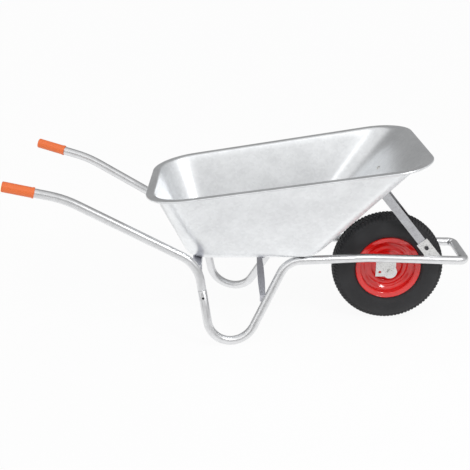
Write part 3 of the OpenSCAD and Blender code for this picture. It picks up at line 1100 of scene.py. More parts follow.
def bored(tube: bpy.types.Object, side: Side) -> None:
    """Cuts the hole of the handle's cross bolt through a tube.

    Args:
        tube: the tube.
        side: the side of the barrow.
    """
    outline = [(0, -BOLT_HALF), (BOLT_HOLE_R, -BOLT_HALF), (BOLT_HOLE_R, BOLT_HALF), (0, BOLT_HALF)]
    tool = lathe(outline, HOLE_STEPS, on(side, BOLT_PLACE), on(side, BOLT_AXIS)).piece("cutter", ZINC)
    step = tube.modifiers.new("bore", "BOOLEAN")
    step.operation = "DIFFERENCE"
    step.solver = "EXACT"
    step.object = tool
    baked(tube)
    discard(tool)


# ---------------------------------------------------------------- tray


@dataclass(frozen=True)
class Outline:
    """A plan outline of the tray in millimetres: a tapered oblong with round corners.

    Attributes:
        rear: its rear end, along X from the axle.
        front: its front end.
        rear_half: half its width at the rear.
        front_half: half its width at the front.
        rear_r: the radius of the rear corners.
        front_r: the radius of the front corners.
    """

    rear: float
    front: float
    rear_half: float
    front_half: float
    rear_r: float
    front_r: float

    def grown(self, by: float) -> "Outline":
        """The outline moved outwards.

        Args:
            by: how far, where less than 0 is inwards.

        Returns:
            The new outline.
        """
        return Outline(
            self.rear - by,
            self.front + by,
            self.rear_half + by,
            self.front_half + by,
            self.rear_r + by,
            self.front_r + by,
        )

    def points(self, arc: int, straight: int) -> list[Pair]:
        """Its points, anticlockwise from the front.

        Args:
            arc: the steps of each corner.
            straight: the steps of each straight.

        Returns:
            The points.
        """
        corners = (
            (self.front - self.front_r, self.front_half - self.front_r, self.front_r, 0),
            (self.rear + self.rear_r, self.rear_half - self.rear_r, self.rear_r, 90),
            (self.rear + self.rear_r, -self.rear_half + self.rear_r, self.rear_r, 180),
            (self.front - self.front_r, -self.front_half + self.front_r, self.front_r, 270),
        )
        arcs = []
        for x, y, r, start in corners:
            angles = [math.radians(start + 90 * i / arc) for i in range(arc + 1)]
            arcs.append([(x + r * math.cos(a), y + r * math.sin(a)) for a in angles])
        found = []
        for here, after in zip(arcs, arcs[1:] + arcs[:1]):
            found.extend(here)
            (x0, y0), (x1, y1) = here[-1], after[0]
            for i in range(1, straight):
                t = i / straight
                found.append((x0 + (x1 - x0) * t, y0 + (y1 - y0) * t))
        return found


@dataclass(frozen=True)
class Tray:
    """The pressed tray: floor, leaning walls, flat brim and curled edge. Sizes are in millimetres.

    Attributes:
        brim: the brim's outer edge in plan.
        floor: where floor and walls would meet if they had no bend between them.
        brim_w: the brim's width.
        sheet: the sheet's thickness.
        bead_r: the radius of the curled edge.
        rise: the brim's height over the deck at its rear end.
        slope: how much the brim climbs for each millimetre forward.
        lean: how far the wall's two faces stand apart in plan, as a share of the sheet.
        floor_bend: how far the bend at the floor reaches in.
        brim_bend: how far the bend at the brim reaches out.
        wall: where the straight part of the wall starts and ends, as shares of its height.
        rows: the steps of the bend at the floor, the wall and the bend at the brim.
        steps: the steps of each corner and each straight in plan.
        curl_in: the first angle, the end and the step of the bead's inner face, in degrees.
        curl_out: the same for its outer face.
        dent: the two ends of the crease at the near rear corner.
        dent_push: the crease's direction and the share of its depth.
        dent_depth: its depth.
        dent_w: the distance at which it fades out.
    """

    brim: Outline = Outline(-848, 90, 281, 304, 152, 140)
    floor: Outline = Outline(-715, -268, 155, 155, 72, 56)
    brim_w: float = 26.0
    sheet: float = 1.5
    bead_r: float = 4.5
    rise: float = 231.0
    slope: float = 0.146055
    lean: float = 0.6
    floor_bend: float = 24.0
    brim_bend: float = 7.0
    wall: Pair = (0.1, 0.975)
    rows: tuple[int, int, int] = (9, 14, 7)
    steps: tuple[int, int] = (20, 14)
    curl_in: tuple[int, int, int] = (70, -201, -18)
    curl_out: tuple[int, int, int] = (-200, 90, 18)
    dent: tuple[Point, Point] = ((-763, -120, 388), (-732, -120, 378))
    dent_push: Point = (0.8, 0.3, 0.3)
    dent_depth: float = 2.2
    dent_w: float = 9.0

    def _level(self, outline: Outline, z: float) -> list[Vector]:
        """A level row."""
        return [Vector((x, y, z)) for x, y in outline.points(*self.steps)]

    def _on_rim(self, outline: Outline, height: float) -> list[Vector]:
        """A row that follows the sloping rim.

        Args:
            outline: the row in plan.
            height: its height over the underside of the brim.

        Returns:
            The row.
        """
        rear = DECK + self.rise
        return [
            Vector((x, y, rear + self.slope * (x - self.brim.rear) + height))
            for x, y in outline.points(*self.steps)
        ]

    @staticmethod
    def _mixed(first: list[Vector], second: list[Vector], share: float) -> list[Vector]:
        """A row between two rows."""
        return [a.lerp(b, share) for a, b in zip(first, second)]

    def _rounded(
        self, first: list[Vector], corner: list[Vector], last: list[Vector], steps: int
    ) -> list[list[Vector]]:
        """Rows that turn smoothly from one row to another.

        Args:
            first: the row that they start at.
            corner: the row where the sheet would bend if it had no radius.
            last: the row that they end at.
            steps: their number, less one.

        Returns:
            The rows.
        """
        found = []
        for s in range(steps + 1):
            t = s / steps
            found.append(self._mixed(self._mixed(first, corner, t), self._mixed(corner, last, t), t))
        return found

    def _skin(self, inset: float) -> list[list[Vector]]:
        """One face of the sheet, from the floor out to the brim.

        Args:
            inset: the face's distance from the underside.

        Returns:
            Its rows.
        """
        lean = self.lean * inset
        inner = self.brim.grown(-self.brim_w)
        flat = self._level(self.floor.grown(-self.floor_bend), DECK + inset)
        foot = self._level(self.floor.grown(-lean), DECK + inset)
        top = self._on_rim(inner.grown(-lean), inset)
        brim = self._on_rim(inner.grown(self.brim_bend), inset)
        low, high = self.wall
        at_floor, on_wall, at_brim = self.rows
        found = self._rounded(flat, foot, self._mixed(foot, top, low), at_floor)
        found += [self._mixed(foot, top, low + (high - low) * i / on_wall) for i in range(1, on_wall)]
        found += self._rounded(self._mixed(foot, top, high), top, brim, at_brim)
        found.append(self._on_rim(self.brim.grown(-self.bead_r), inset))
        return found

    def _curl(self, radius: float, angles: Iterable[int]) -> list[list[Vector]]:
        """Rows round the curled edge.

        Args:
            radius: their distance from the bead's middle.
            angles: their places round it, in degrees.

        Returns:
            The rows.
        """
        found = []
        for angle in map(math.radians, angles):
            ring = self.brim.grown(-self.bead_r + radius * math.cos(angle))
            found.append(self._on_rim(ring, self.sheet - self.bead_r + radius * math.sin(angle)))
        return found

    def _dented(self, point: Vector) -> Vector:
        """Moves a point into the shallow crease at the near rear corner.

        Args:
            point: the point, in millimetres.

        Returns:
            The moved point.
        """
        start, end = map(Vector, self.dent)
        run = end - start
        share = max(0.0, min(1.0, (point - start).dot(run) / run.length_squared))
        away = (point - start - run * share).length
        depth = self.dent_depth * math.exp(-((away / self.dent_w) ** 2))
        return point + Vector(self.dent_push) * depth

    def build(self) -> None:
        """Makes the tray's piece."""
        rows = self._skin(0.0)
        rows += self._curl(self.bead_r - self.sheet, range(*self.curl_in))
        rows += self._curl(self.bead_r, range(*self.curl_out))
        rows += self._skin(self.sheet)[::-1]
        shape = Shape()
        shape.cap(shape.loft([spot(*self._dented(p)) for p in row] for row in rows))
        hand_over(shape.piece("tray_pan", SHEET, sharp=50), Body.FRAME, Slot.TRAY, "tray")


# ---------------------------------------------------------------- tubes of the frame


@dataclass(frozen=True)
class FrameTube:
    """The bent tube from one mouth over the foot, along the rail, round the nose and back.

    Attributes:
        corners: the corners of one half, from the mouth to the nose.
        radii: the bend radius at each of them.
        folds: the depth of the wrinkles in the bend at each end of the nose, by its corner.
        oval: how far the nose bends are flattened, as a share of the radius.
        fold_from: how far round from the inside of a bend its wrinkles reach.
        wrinkles: the number of wrinkles in a bend.
    """

    corners: tuple[Vector, ...] = (MOUTH, FOOT, LEG_TOP, KNEE, NOSE)
    radii: tuple[float, ...] = (0.0, 0.087, 0.080, 0.300, 0.024)
    folds: tuple[tuple[int, float], ...] = ((4, 2.2 * MM), (5, 4.8 * MM))
    oval: float = 0.05
    fold_from: float = 0.2
    wrinkles: int = 2

    def _outer(self, stop: Station, way: Vector) -> float:
        """The outside radius, flattened and folded in the tight bends of the nose.

        Args:
            stop: the place on the centre line.
            way: the direction across the tube.

        Returns:
            The radius.
        """
        depth = dict(self.folds).get(stop.corner)
        if depth is None:
            return TUBE_R
        fade = math.sin(math.pi * stop.share)
        facing = way.dot(stop.inner)
        oval = self.oval * fade * (2 * facing**2 - 1)
        fold = 0.5 - 0.5 * math.cos(math.tau * self.wrinkles * stop.share)
        return TUBE_R * (1 - oval) - depth * fold * fade * max(0.0, facing + self.fold_from) ** 2

    def build(self) -> None:
        """Makes the tube's piece."""
        path = [on(Side.RIGHT, p) for p in self.corners] + list(reversed(self.corners))
        shape = tube_shape(stations(path, self.radii + self.radii[::-1]), self._outer)
        tube = shape.piece("frame_bent_tube", TUBE, sharp=TUBE_SHARP)
        for side in Side:
            bored(tube, side)
        smooth(tube.data, TUBE_SHARP)
        hand_over(tube, Body.FRAME, Slot.TUBE, "frame_tube")


@dataclass(frozen=True)
class Handle:
    """One handle, whose drawn-down end sits in the frame's mouth, and its grip.

    Attributes:
        side: the side of the barrow.
        plug_r: the outside radius of the drawn-down end.
        plug: how far that end reaches below the mouth, in millimetres.
        gap: where the tube starts to widen, above the mouth.
        swage: the length over which it widens.
        radii: the bend radius at each corner of the centre line.
        more: extra places on the centre line about the mouth, in millimetres above it.
        tuck: how far the tube's end lies inside the grip's end, in millimetres.
        grip: the grip's section as radius, distance from its end and corner radius, in millimetres.
        grip_steps: the steps of each rounded corner and of the whole turn.
    """

    side: Side
    plug_r: float = 13.35 * MM
    plug: float = 72.0
    gap: float = 0.8 * MM
    swage: float = 3.4 * MM
    radii: tuple[float, ...] = (0.0, 0.120, 0.350, 0.0)
    more: tuple[float, ...] = (-40, -10, 0, 0.8, 1.3, 1.9, 2.5, 3.1, 3.7, 4.2)
    tuck: float = 3.0
    grip: tuple[Point, ...] = (
        (0.0, 0.0, 0.0),
        (17.2, 0.0, 4.0),
        (17.2, 94.5, 1.0),
        (18.2, 96.0, 1.0),
        (18.2, 102.0, 1.2),
        (15.04, 102.0, 0.5),
        (15.04, 3.0, 0.3),
        (0.0, 3.0, 0.0),
    )
    grip_steps: tuple[int, int] = (6, 64)

    def _outer(self, stop: Station, _way: Vector) -> float:
        """The outside radius: the plug, a short shoulder and the full tube.

        Args:
            stop: the place on the centre line.

        Returns:
            The radius, which is the same in every direction.
        """
        run = (stop.place - on(self.side, MOUTH)).dot(on(self.side, LEG_AXIS))
        share = max(0.0, min(1.0, (run - self.gap) / self.swage))
        return self.plug_r + (TUBE_R - self.plug_r) * share * share * (3 - 2 * share)

    def _line(self) -> list[Station]:
        """The centre line, with extra places where the tube is drawn down.

        Returns:
            The places from one end to the other.
        """
        start = MOUTH - LEG_AXIS * self.plug * MM
        end = GRIP_END + GRIP_AXIS * self.tuck * MM
        line = stations([on(self.side, p) for p in (start, ELBOW, SHOULDER, end)], self.radii)
        axis = on(self.side, LEG_AXIS)
        extra = [Station(on(self.side, MOUTH) + axis * d * MM, axis) for d in self.more]
        return line[:1] + extra + line[1:]

    def build(self) -> None:
        """Makes the pieces of one side."""
        word = self.side.word
        shape = tube_shape(self._line(), self._outer)
        tube = shape.piece(f"handle_tube_{word}", TUBE, sharp=TUBE_SHARP)
        bored(tube, self.side)
        smooth(tube.data, TUBE_SHARP)
        hand_over(tube, Body.FRAME, Slot.TUBE, f"handle_{word}")
        corner_steps, steps = self.grip_steps
        outline = filleted(self.grip, corner_steps)
        grip = lathe(outline, steps, on(self.side, GRIP_END), on(self.side, GRIP_AXIS))
        sleeve = grip.piece(f"grip_sleeve_{word}", ORANGE, sharp=50)
        hand_over(sleeve, Body.FRAME, Slot.GRIP, f"grip_{word}")


# ---------------------------------------------------------------- plates and stays

FLAT = math.radians(1.0)
ROUNDED_FROM = math.radians(35)
SOFT_SHARP = 30


@dataclass(frozen=True)
class Plates:
    """Flat and folded parts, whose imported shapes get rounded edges.

    Attributes:
        nodes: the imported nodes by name.
        parts: each part's finish and the width of its rounding in millimetres.
    """

    nodes: dict[str, bpy.types.Object]
    parts: tuple[tuple[str, Finish, float], ...] = (
        # The cross bar and the leg brace wear the zinc with the tray's shade painted in.
        ("rear_cross_bar", STRUT_SHADED, 0.7),
        ("leg_brace", STRUT_SHADED, 0.7),
        ("stay_right", STAY, 0.6),
        ("stay_left", STAY, 0.6),
        ("stay_plate_right", PLATE, 0.5),
        ("stay_plate_left", PLATE, 0.5),
        ("axle_plate_right", PLATE, 0.7),
        ("axle_plate_left", PLATE, 0.7),
    )

    def build(self) -> None:
        """Makes a softened copy of each part."""
        for name, finish, width in self.parts:
            hand_over(softened(self.nodes, name, finish, width), Body.FRAME, Slot.PLATE, name)


def softened(
    nodes: dict[str, bpy.types.Object], name: str, finish: Finish, width: float
) -> bpy.types.Object:
    """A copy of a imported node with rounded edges.

    Args:
        nodes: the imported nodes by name.
        name: the node's name.
        finish: its finish.
        width: the width of the rounding, in millimetres.

    Returns:
        The copy.
    """
    title = f"{name}_soft"
    mesh = nodes[name].data.copy()
    mesh.name = title
    tidy = bmesh.new()
    tidy.from_mesh(mesh)
    bmesh.ops.remove_doubles(tidy, verts=tidy.verts, dist=2 * SAME_PLACE)
    bmesh.ops.dissolve_limit(tidy, angle_limit=FLAT, verts=tidy.verts, edges=tidy.edges)
    tidy.to_mesh(mesh)
    tidy.free()
    piece = finished(title, mesh, finish, SOFT_SHARP)
    step = piece.modifiers.new("rounding", "BEVEL")
    step.width = width * MM
    step.segments = 2
    step.limit_method = "ANGLE"
    step.angle_limit = ROUNDED_FROM
    step.harden_normals = True
    return baked(piece)


# ---------------------------------------------------------------- fasteners

ROUND = 48


def hexagon(across: float, angle: float) -> float:
    """The radius of a hexagon at an angle, with a corner at angle 0."""
    return across / 2 / math.cos((angle % math.radians(60)) - math.radians(30))


def hex_row(across: float, height: float, limit: float) -> list[Vector]:
    """A level row round a hexagon whose corners are turned down to a radius.

    Args:
        across: the width across the flats.
        height: the row's height.
        limit: the largest radius.

    Returns:
        The row's points, in metres.
    """
    row = []
    for i in range(ROUND):
        angle = math.tau * i / ROUND
        r = min(hexagon(across, angle), limit) * MM
        row.append(Vector((r * math.cos(angle), r * math.sin(angle), height * MM)))
    return row


def round_row(radius: float, height: float) -> list[Vector]:
    """A level round row, in metres, from sizes in millimetres."""
    return [Vector((x, y, height * MM)) for x, y in circle(ROUND, radius * MM)]


@dataclass(frozen=True)
class Bolt:
    """A bolt along +Z, its head below Z = 0. Sizes are in millimetres.

    Attributes:
        length: from the head's seat to the end.
        thread: the thread's diameter.
        pitch: the thread's pitch.
        head: the head's width.
        head_h: the head's height.
        cup: whether the head is a dome, and not a hexagon.
        threaded: the length of the thread.
        groove: the depth of its grooves.
        dome: the rows of a cup head.
        crown: rows of a hexagon head, as depth below its top and largest radius.
        seat: rows of it near its seat, as height and largest radius. Radii are shares of half the
            head's width.
        point: the length and depth of the bevel at the thread's end.
    """

    length: float
    thread: float = 8.0
    pitch: float = 1.25
    head: float = 13.0
    head_h: float = 5.2
    cup: bool = False
    threaded: float = 22.0
    groove: float = 0.45
    dome: int = 8
    crown: tuple[Pair, ...] = ((0.0, 0.94), (0.45, 1.07), (0.9, 1.2))
    seat: tuple[Pair, ...] = ((-0.3, 1.2), (0.0, 1.14))
    point: float = 0.8

    def _head(self) -> list[list[Vector]]:
        """Rows of the head, from its top to its seat.

        Returns:
            The rows.
        """
        half = self.head / 2
        if self.cup:
            ball = (half**2 + self.head_h**2) / (2 * self.head_h)
            rows = []
            for i in range(1, self.dome + 1):
                r = half * i / self.dome
                rows.append(round_row(r, ball - self.head_h - math.sqrt(ball**2 - r**2)))
            return rows + [round_row(half - 0.1, 0.0)]
        rows = [round_row(half * 0.6, -self.head_h)]
        rows += [hex_row(self.head, h - self.head_h, half * share) for h, share in self.crown]
        return rows + [hex_row(self.head, h, half * share) for h, share in self.seat]

    def _shank(self) -> list[list[Vector]]:
        """Rows of the shank, with grooves where it is threaded.

        Returns:
            The rows.
        """
        r = self.thread / 2
        rows = [round_row(r, 0.0)]
        height = max(1.0, self.length - self.threaded)
        while height < self.length - 1.2:
            rows += [round_row(r, height), round_row(r - self.groove, height + self.pitch / 2)]
            height += self.pitch
        return rows + [round_row(r, self.length - self.point), round_row(r - self.point, self.length)]

    def shape(self) -> Shape:
        """The bolt's shape.

        Returns:
            The closed shape.
        """
        shape = Shape()
        rings = shape.loft(self._head() + self._shank())
        shape.fan(rings[0], Vector((0, 0, -self.head_h * MM)))
        shape.fan(rings[-1], Vector((0, 0, self.length * MM)))
        return shape


@dataclass(frozen=True)
class Nut:
    """A hexagon nut that stands on Z = 0. Sizes are in millimetres.

    Attributes:
        across: the width across the flats.
        height: its height.
        bore: the radius of its hole.
        bevel: the width of the bevel of the hole.
        corner: the height of the turned-down corners.
    """

    across: float = 13.0
    height: float = 6.4
    bore: float = 4.02
    bevel: float = 0.5
    corner: float = 0.7

    def shape(self) -> Shape:
        """The nut's shape.

        Returns:
            The shape.
        """
        half = self.across / 2
        rows = [
            hex_row(self.across, 0.0, half * 0.97),
            hex_row(self.across, self.corner, half * 1.2),
            hex_row(self.across, self.height - self.corner, half * 1.2),
            hex_row(self.across, self.height, half * 0.97),
            round_row(self.bore + self.bevel, self.height),
            round_row(self.bore, self.height - self.bevel),
            round_row(self.bore, self.bevel),
            round_row(self.bore + self.bevel, 0.0),
        ]
        shape = Shape()
        shape.loft(rows, wrap=True)
        return shape


@dataclass(frozen=True)
class Seat:
    """Where a fastener sits, and the direction of its thread."""

    place: Vector
    aim: Vector


def cup_bolt(length: float) -> Bolt:
    """A bolt with a cup head, of a length in millimetres."""
    return Bolt(length, head=16.8, head_h=4.0, cup=True)


@dataclass(frozen=True)
class Fasteners:
    """Bolts and nuts, each a template copied to its seats.

    Places are in millimetres on the left half, with X from the axle. Other lengths are in
    millimetres too, and angles are in radians.

    Attributes:
        rail_bolt: the seat of a bolt through floor and rail.
        bar_bolt: the seat of a bolt through floor and angle bar.
        rail_nut: how far below its bolt's seat a nut of the rails sits.
        bar_nut: how far below its bolt's seat a nut of the bar sits.
        stay_top: the upper end of a stay.
        stay_up: how far up the tray's front wall its bolt is.
        stay_out: how far outside that wall's outer face its bolt's head and its nut sit.
        tilt: the front wall's lean.
        stay_foot: the lower end of a stay.
        foot_up: how far up the stay the bolt of its foot is.
        foot_out: how far outside the foot's place its bolt's head and its nut sit.
        dip: the stay's lean.
        axle_half: half the length between the axle's head and its nut.
        rail: a bolt through floor and rail.
        bar: a bolt through floor and angle bar.
        wall: a bolt through the front wall and a stay.
        foot: a bolt through the foot of a stay.
        cross: a bolt through the plugged end of a handle.
        axle: the axle.
        nut: the nut of the small bolts.
        axle_nut: the axle's nut.
        tree: the tree that places the copies.
    """

    rail_bolt: Point = (-320, 122.19, DECK + 1.5)
    bar_bolt: Point = (-681.43, 90, DECK + 1.5)
    rail_nut: float = 8.97
    bar_nut: float = 4.5
    stay_top: Point = (-59.16, 79.21, 517.1)
    stay_up: float = 32.0
    stay_out: Pair = (-1.7, 2.5)
    tilt: float = math.radians(47.655)
    stay_foot: Point = (141, 84.71, 270.79)
    foot_up: float = 38.0
    foot_out: Pair = (3.0, -2.5)
    dip: float = math.radians(50.90)
    axle_half: float = 68.5
    rail: Bolt = cup_bolt(18.3)
    bar: Bolt = cup_bolt(13.9)
    wall: Bolt = cup_bolt(13.6)
    foot: Bolt = Bolt(14.9)
    cross: Bolt = Bolt(22.0, head_h=6.4)
    axle: Bolt = Bolt(151.2, thread=12.0, pitch=1.75, head=18.96, head_h=7.44)
    nut: Nut = Nut()
    axle_nut: Nut = Nut(across=18.96, height=10.2, bore=6.02)
    tree: bpy.types.NodeTree = field(default_factory=aimed_tree)

    def _place(
        self, name: str, part: Bolt | Nut, seats: Sequence[Seat], finish: Finish, node: str
    ) -> None:
        """Copies a part to its seats as one piece.

        Args:
            name: the piece's name.
            part: the bolt or nut.
            seats: the seats.
            finish: the piece's finish.
            node: the node that it stands for.
        """
        template = part.shape().piece(f"{name}_template", finish)
        host = points_object(name, [seat.place for seat in seats])
        aims = host.data.attributes.new("aim", "FLOAT_VECTOR", "POINT")
        for i, seat in enumerate(seats):
            aims.data[i].vector = seat.aim
        grown_by(host, self.tree, template=template, material=finish.material())
        discard(template)
        hand_over(host, Body.FRAME, Slot.ZINC, node)

    def _floor_seats(self, place: Point, depth: float) -> list[Seat]:
        """Seats of the tray's floor, at a depth below a place."""
        down = Vector((0, 0, -1))
        return [Seat(on(side, spot(*place)) + down * depth * MM, down) for side in Side]

    def _stay_seats(self, depth: float) -> list[Seat]:
        """Seats of the front wall.

        Args:
            depth: the distance outwards from the wall's outer face.

        Returns:
            One seat a side.
        """
        out = Vector((math.sin(self.tilt), 0, -math.cos(self.tilt)))
        up = Vector((math.cos(self.tilt), 0, math.sin(self.tilt)))
        away = up * self.stay_up * MM + out * depth * MM
        return [Seat(on(side, spot(*self.stay_top)) + away, out) for side in Side]

    def _foot_seats(self, height: float) -> list[Seat]:
        """Seats of the stays' feet.

        Args:
            height: the distance outwards from the foot's place.

        Returns:
            One seat a side.
        """
        up = Vector((-math.cos(self.dip), 0, math.sin(self.dip)))
        place = spot(*self.stay_foot) + up * self.foot_up * MM + Vector((0, height * MM, 0))
        return [Seat(on(side, place), Vector((0, -side.value, 0))) for side in Side]

    def build(self) -> None:
        """Makes all the fasteners."""
        rails = self._floor_seats(self.rail_bolt, 0.0)
        bars = self._floor_seats(self.bar_bolt, 0.0)
        low = self._floor_seats(self.rail_bolt, self.rail_nut)
        low += self._floor_seats(self.bar_bolt, self.bar_nut)
        walls, wall_nuts = map(self._stay_seats, self.stay_out)
        feet, foot_nuts = map(self._foot_seats, self.foot_out)
        ends = [Seat(on(side, BOLT_PLACE - BOLT_AXIS * TUBE_R), on(side, BOLT_AXIS)) for side in Side]
        left = Vector((0, 1, 0))
        half = left * (self.axle_half * MM)
        for row in (
            ("rail_bolts", self.rail, rails, ZINC, "tray_bolts"),
            ("bar_bolts", self.bar, bars, ZINC, "tray_bolts"),
            ("tray_hex_nuts", self.nut, low, ZINC, "tray_nuts"),
            ("stay_cup_bolts", self.wall, walls, ZINC, "stay_bolts"),
            ("stay_hex_nuts", self.nut, wall_nuts, ZINC, "stay_nuts"),
            # The stay feet's bolts are painted dark with shade.
            ("stay_foot_bolts", self.foot, feet, DARK_SHADE_ZINC, "stay_plate_bolts"),
            ("stay_foot_nuts", self.nut, foot_nuts, ZINC, "stay_plate_nuts"),
            # The handles' cross bolts are painted dark, so that their holes show as shadowed.
            ("handle_cross_bolts", self.cross, ends, DARK_SHADE_ZINC, "handle_bolts"),
            ("axle_long_bolt", self.axle, [Seat(AXLE - half, left)], ZINC, "axle_bolt"),
            ("axle_hex_nut", self.axle_nut, [Seat(AXLE + half, left)], ZINC, "axle_nut"),
        ):
            self._place(*row)


@dataclass(frozen=True)
class Welds:
    """Weld beads along the joints.

    Attributes:
        runs: the beads of the frame, as places in millimetres on the left half.
        hub: the radius and half the length of the hub, where it meets the rims.
        frame_r: the radius of the frame's ripples.
        hub_r: the radius of the hub's ripples.
        hub_steps: the steps of a bead round the hub.
        pitch: the distance from ripple to ripple, as a share of the radius.
        tree: the tree that lays the ripples.
    """

    runs: tuple[tuple[Point, ...], ...] = (
        ((-459.6, 175.6, 139), (-453.8, 175.6, 150), (-447.3, 175.6, 161)),
        ((112.7, 88.2, 271.3), (141, 88.3, 270.7), (169.3, 88.2, 269.9)),
        ((-50, 69.3, 254.3), (20, 69.3, 253.0)),
        ((-663.9, 192.6, 259), (-663.9, 190.2, 287)),
    )
    hub: Pair = (17.6, 2.6)
    frame_r: float = 2.1 * MM
    hub_r: float = 1.6 * MM
    hub_steps: int = 36
    pitch: float = 0.75
    tree: bpy.types.NodeTree = field(default_factory=weld_tree)

    def _lay(
        self, name: str, runs: Sequence[Sequence[Vector]], finish: Finish, radius: float
    ) -> bpy.types.Object:
        """Lays a bead along each run of points.

        Args:
            name: the piece's name.
            runs: the runs.
            finish: the piece's finish.
            radius: the radius of a ripple.

        Returns:
            The piece.
        """
        points: list[Vector] = []
        edges: list[tuple[int, int]] = []
        for run in runs:
            start = len(points)
            points.extend(run)
            edges.extend((start + i, start + i + 1) for i in range(len(run) - 1))
        host = points_object(name, points, edges)
        sizes = {"radius": radius, "pitch": radius * self.pitch}
        return grown_by(host, self.tree, material=finish.material(), **sizes)

    def build(self) -> None:
        """Makes the beads of the frame and of the wheel."""
        runs = [[on(side, spot(*p)) for p in run] for run in self.runs for side in Side]
        hand_over(self._lay("frame_welds", runs, WELD, self.frame_r), Body.FRAME, Slot.PLATE)
        radius, along = self.hub
        turns = [math.tau * i / self.hub_steps for i in range(self.hub_steps + 1)]
        rings = [[wheel_point(radius, side.value * along, t) for t in turns] for side in Side]
        hand_over(self._lay("hub_welds", rings, RED, self.hub_r), Body.WHEEL, Slot.RIM)


# ---------------------------------------------------------------- wheel


def wheel_point(radius: float, along: float, angle: float) -> Vector:
    """A point of the wheel.

    Args:
        radius: millimetres from the axle.
        along: millimetres along the axle to the left.
        angle: the angle about the axle, in radians.

    Returns:
        The point in the model's frame.
    """
    return AXLE + Vector((radius * math.cos(angle), along, radius * math.sin(angle))) * MM


def sheet_section(path: Sequence[Pair], thickness: float) -> list[Pair]:
    """The closed section of a pressed sheet.

    Args:
        path: one face of the sheet.
        thickness: how far to its left the other face lies.

    Returns:
        The path, and back along the other face.
    """
    shifted = []
    for i, here in enumerate(path):
        before = Vector(path[max(i - 1, 0)])
        after = Vector(path[min(i + 1, len(path) - 1)])
        run = (after - before).normalized()
        shifted.append((here[0] - run.y * thickness, here[1] + run.x * thickness))
    return list(path) + shifted[::-1]


def mirrored(line: Sequence[tuple[float, ...]]) -> list[tuple[float, ...]]:
    """A line of the tyre's left half on its right half."""
    return [(r, -a, *more) for r, a, *more in line]


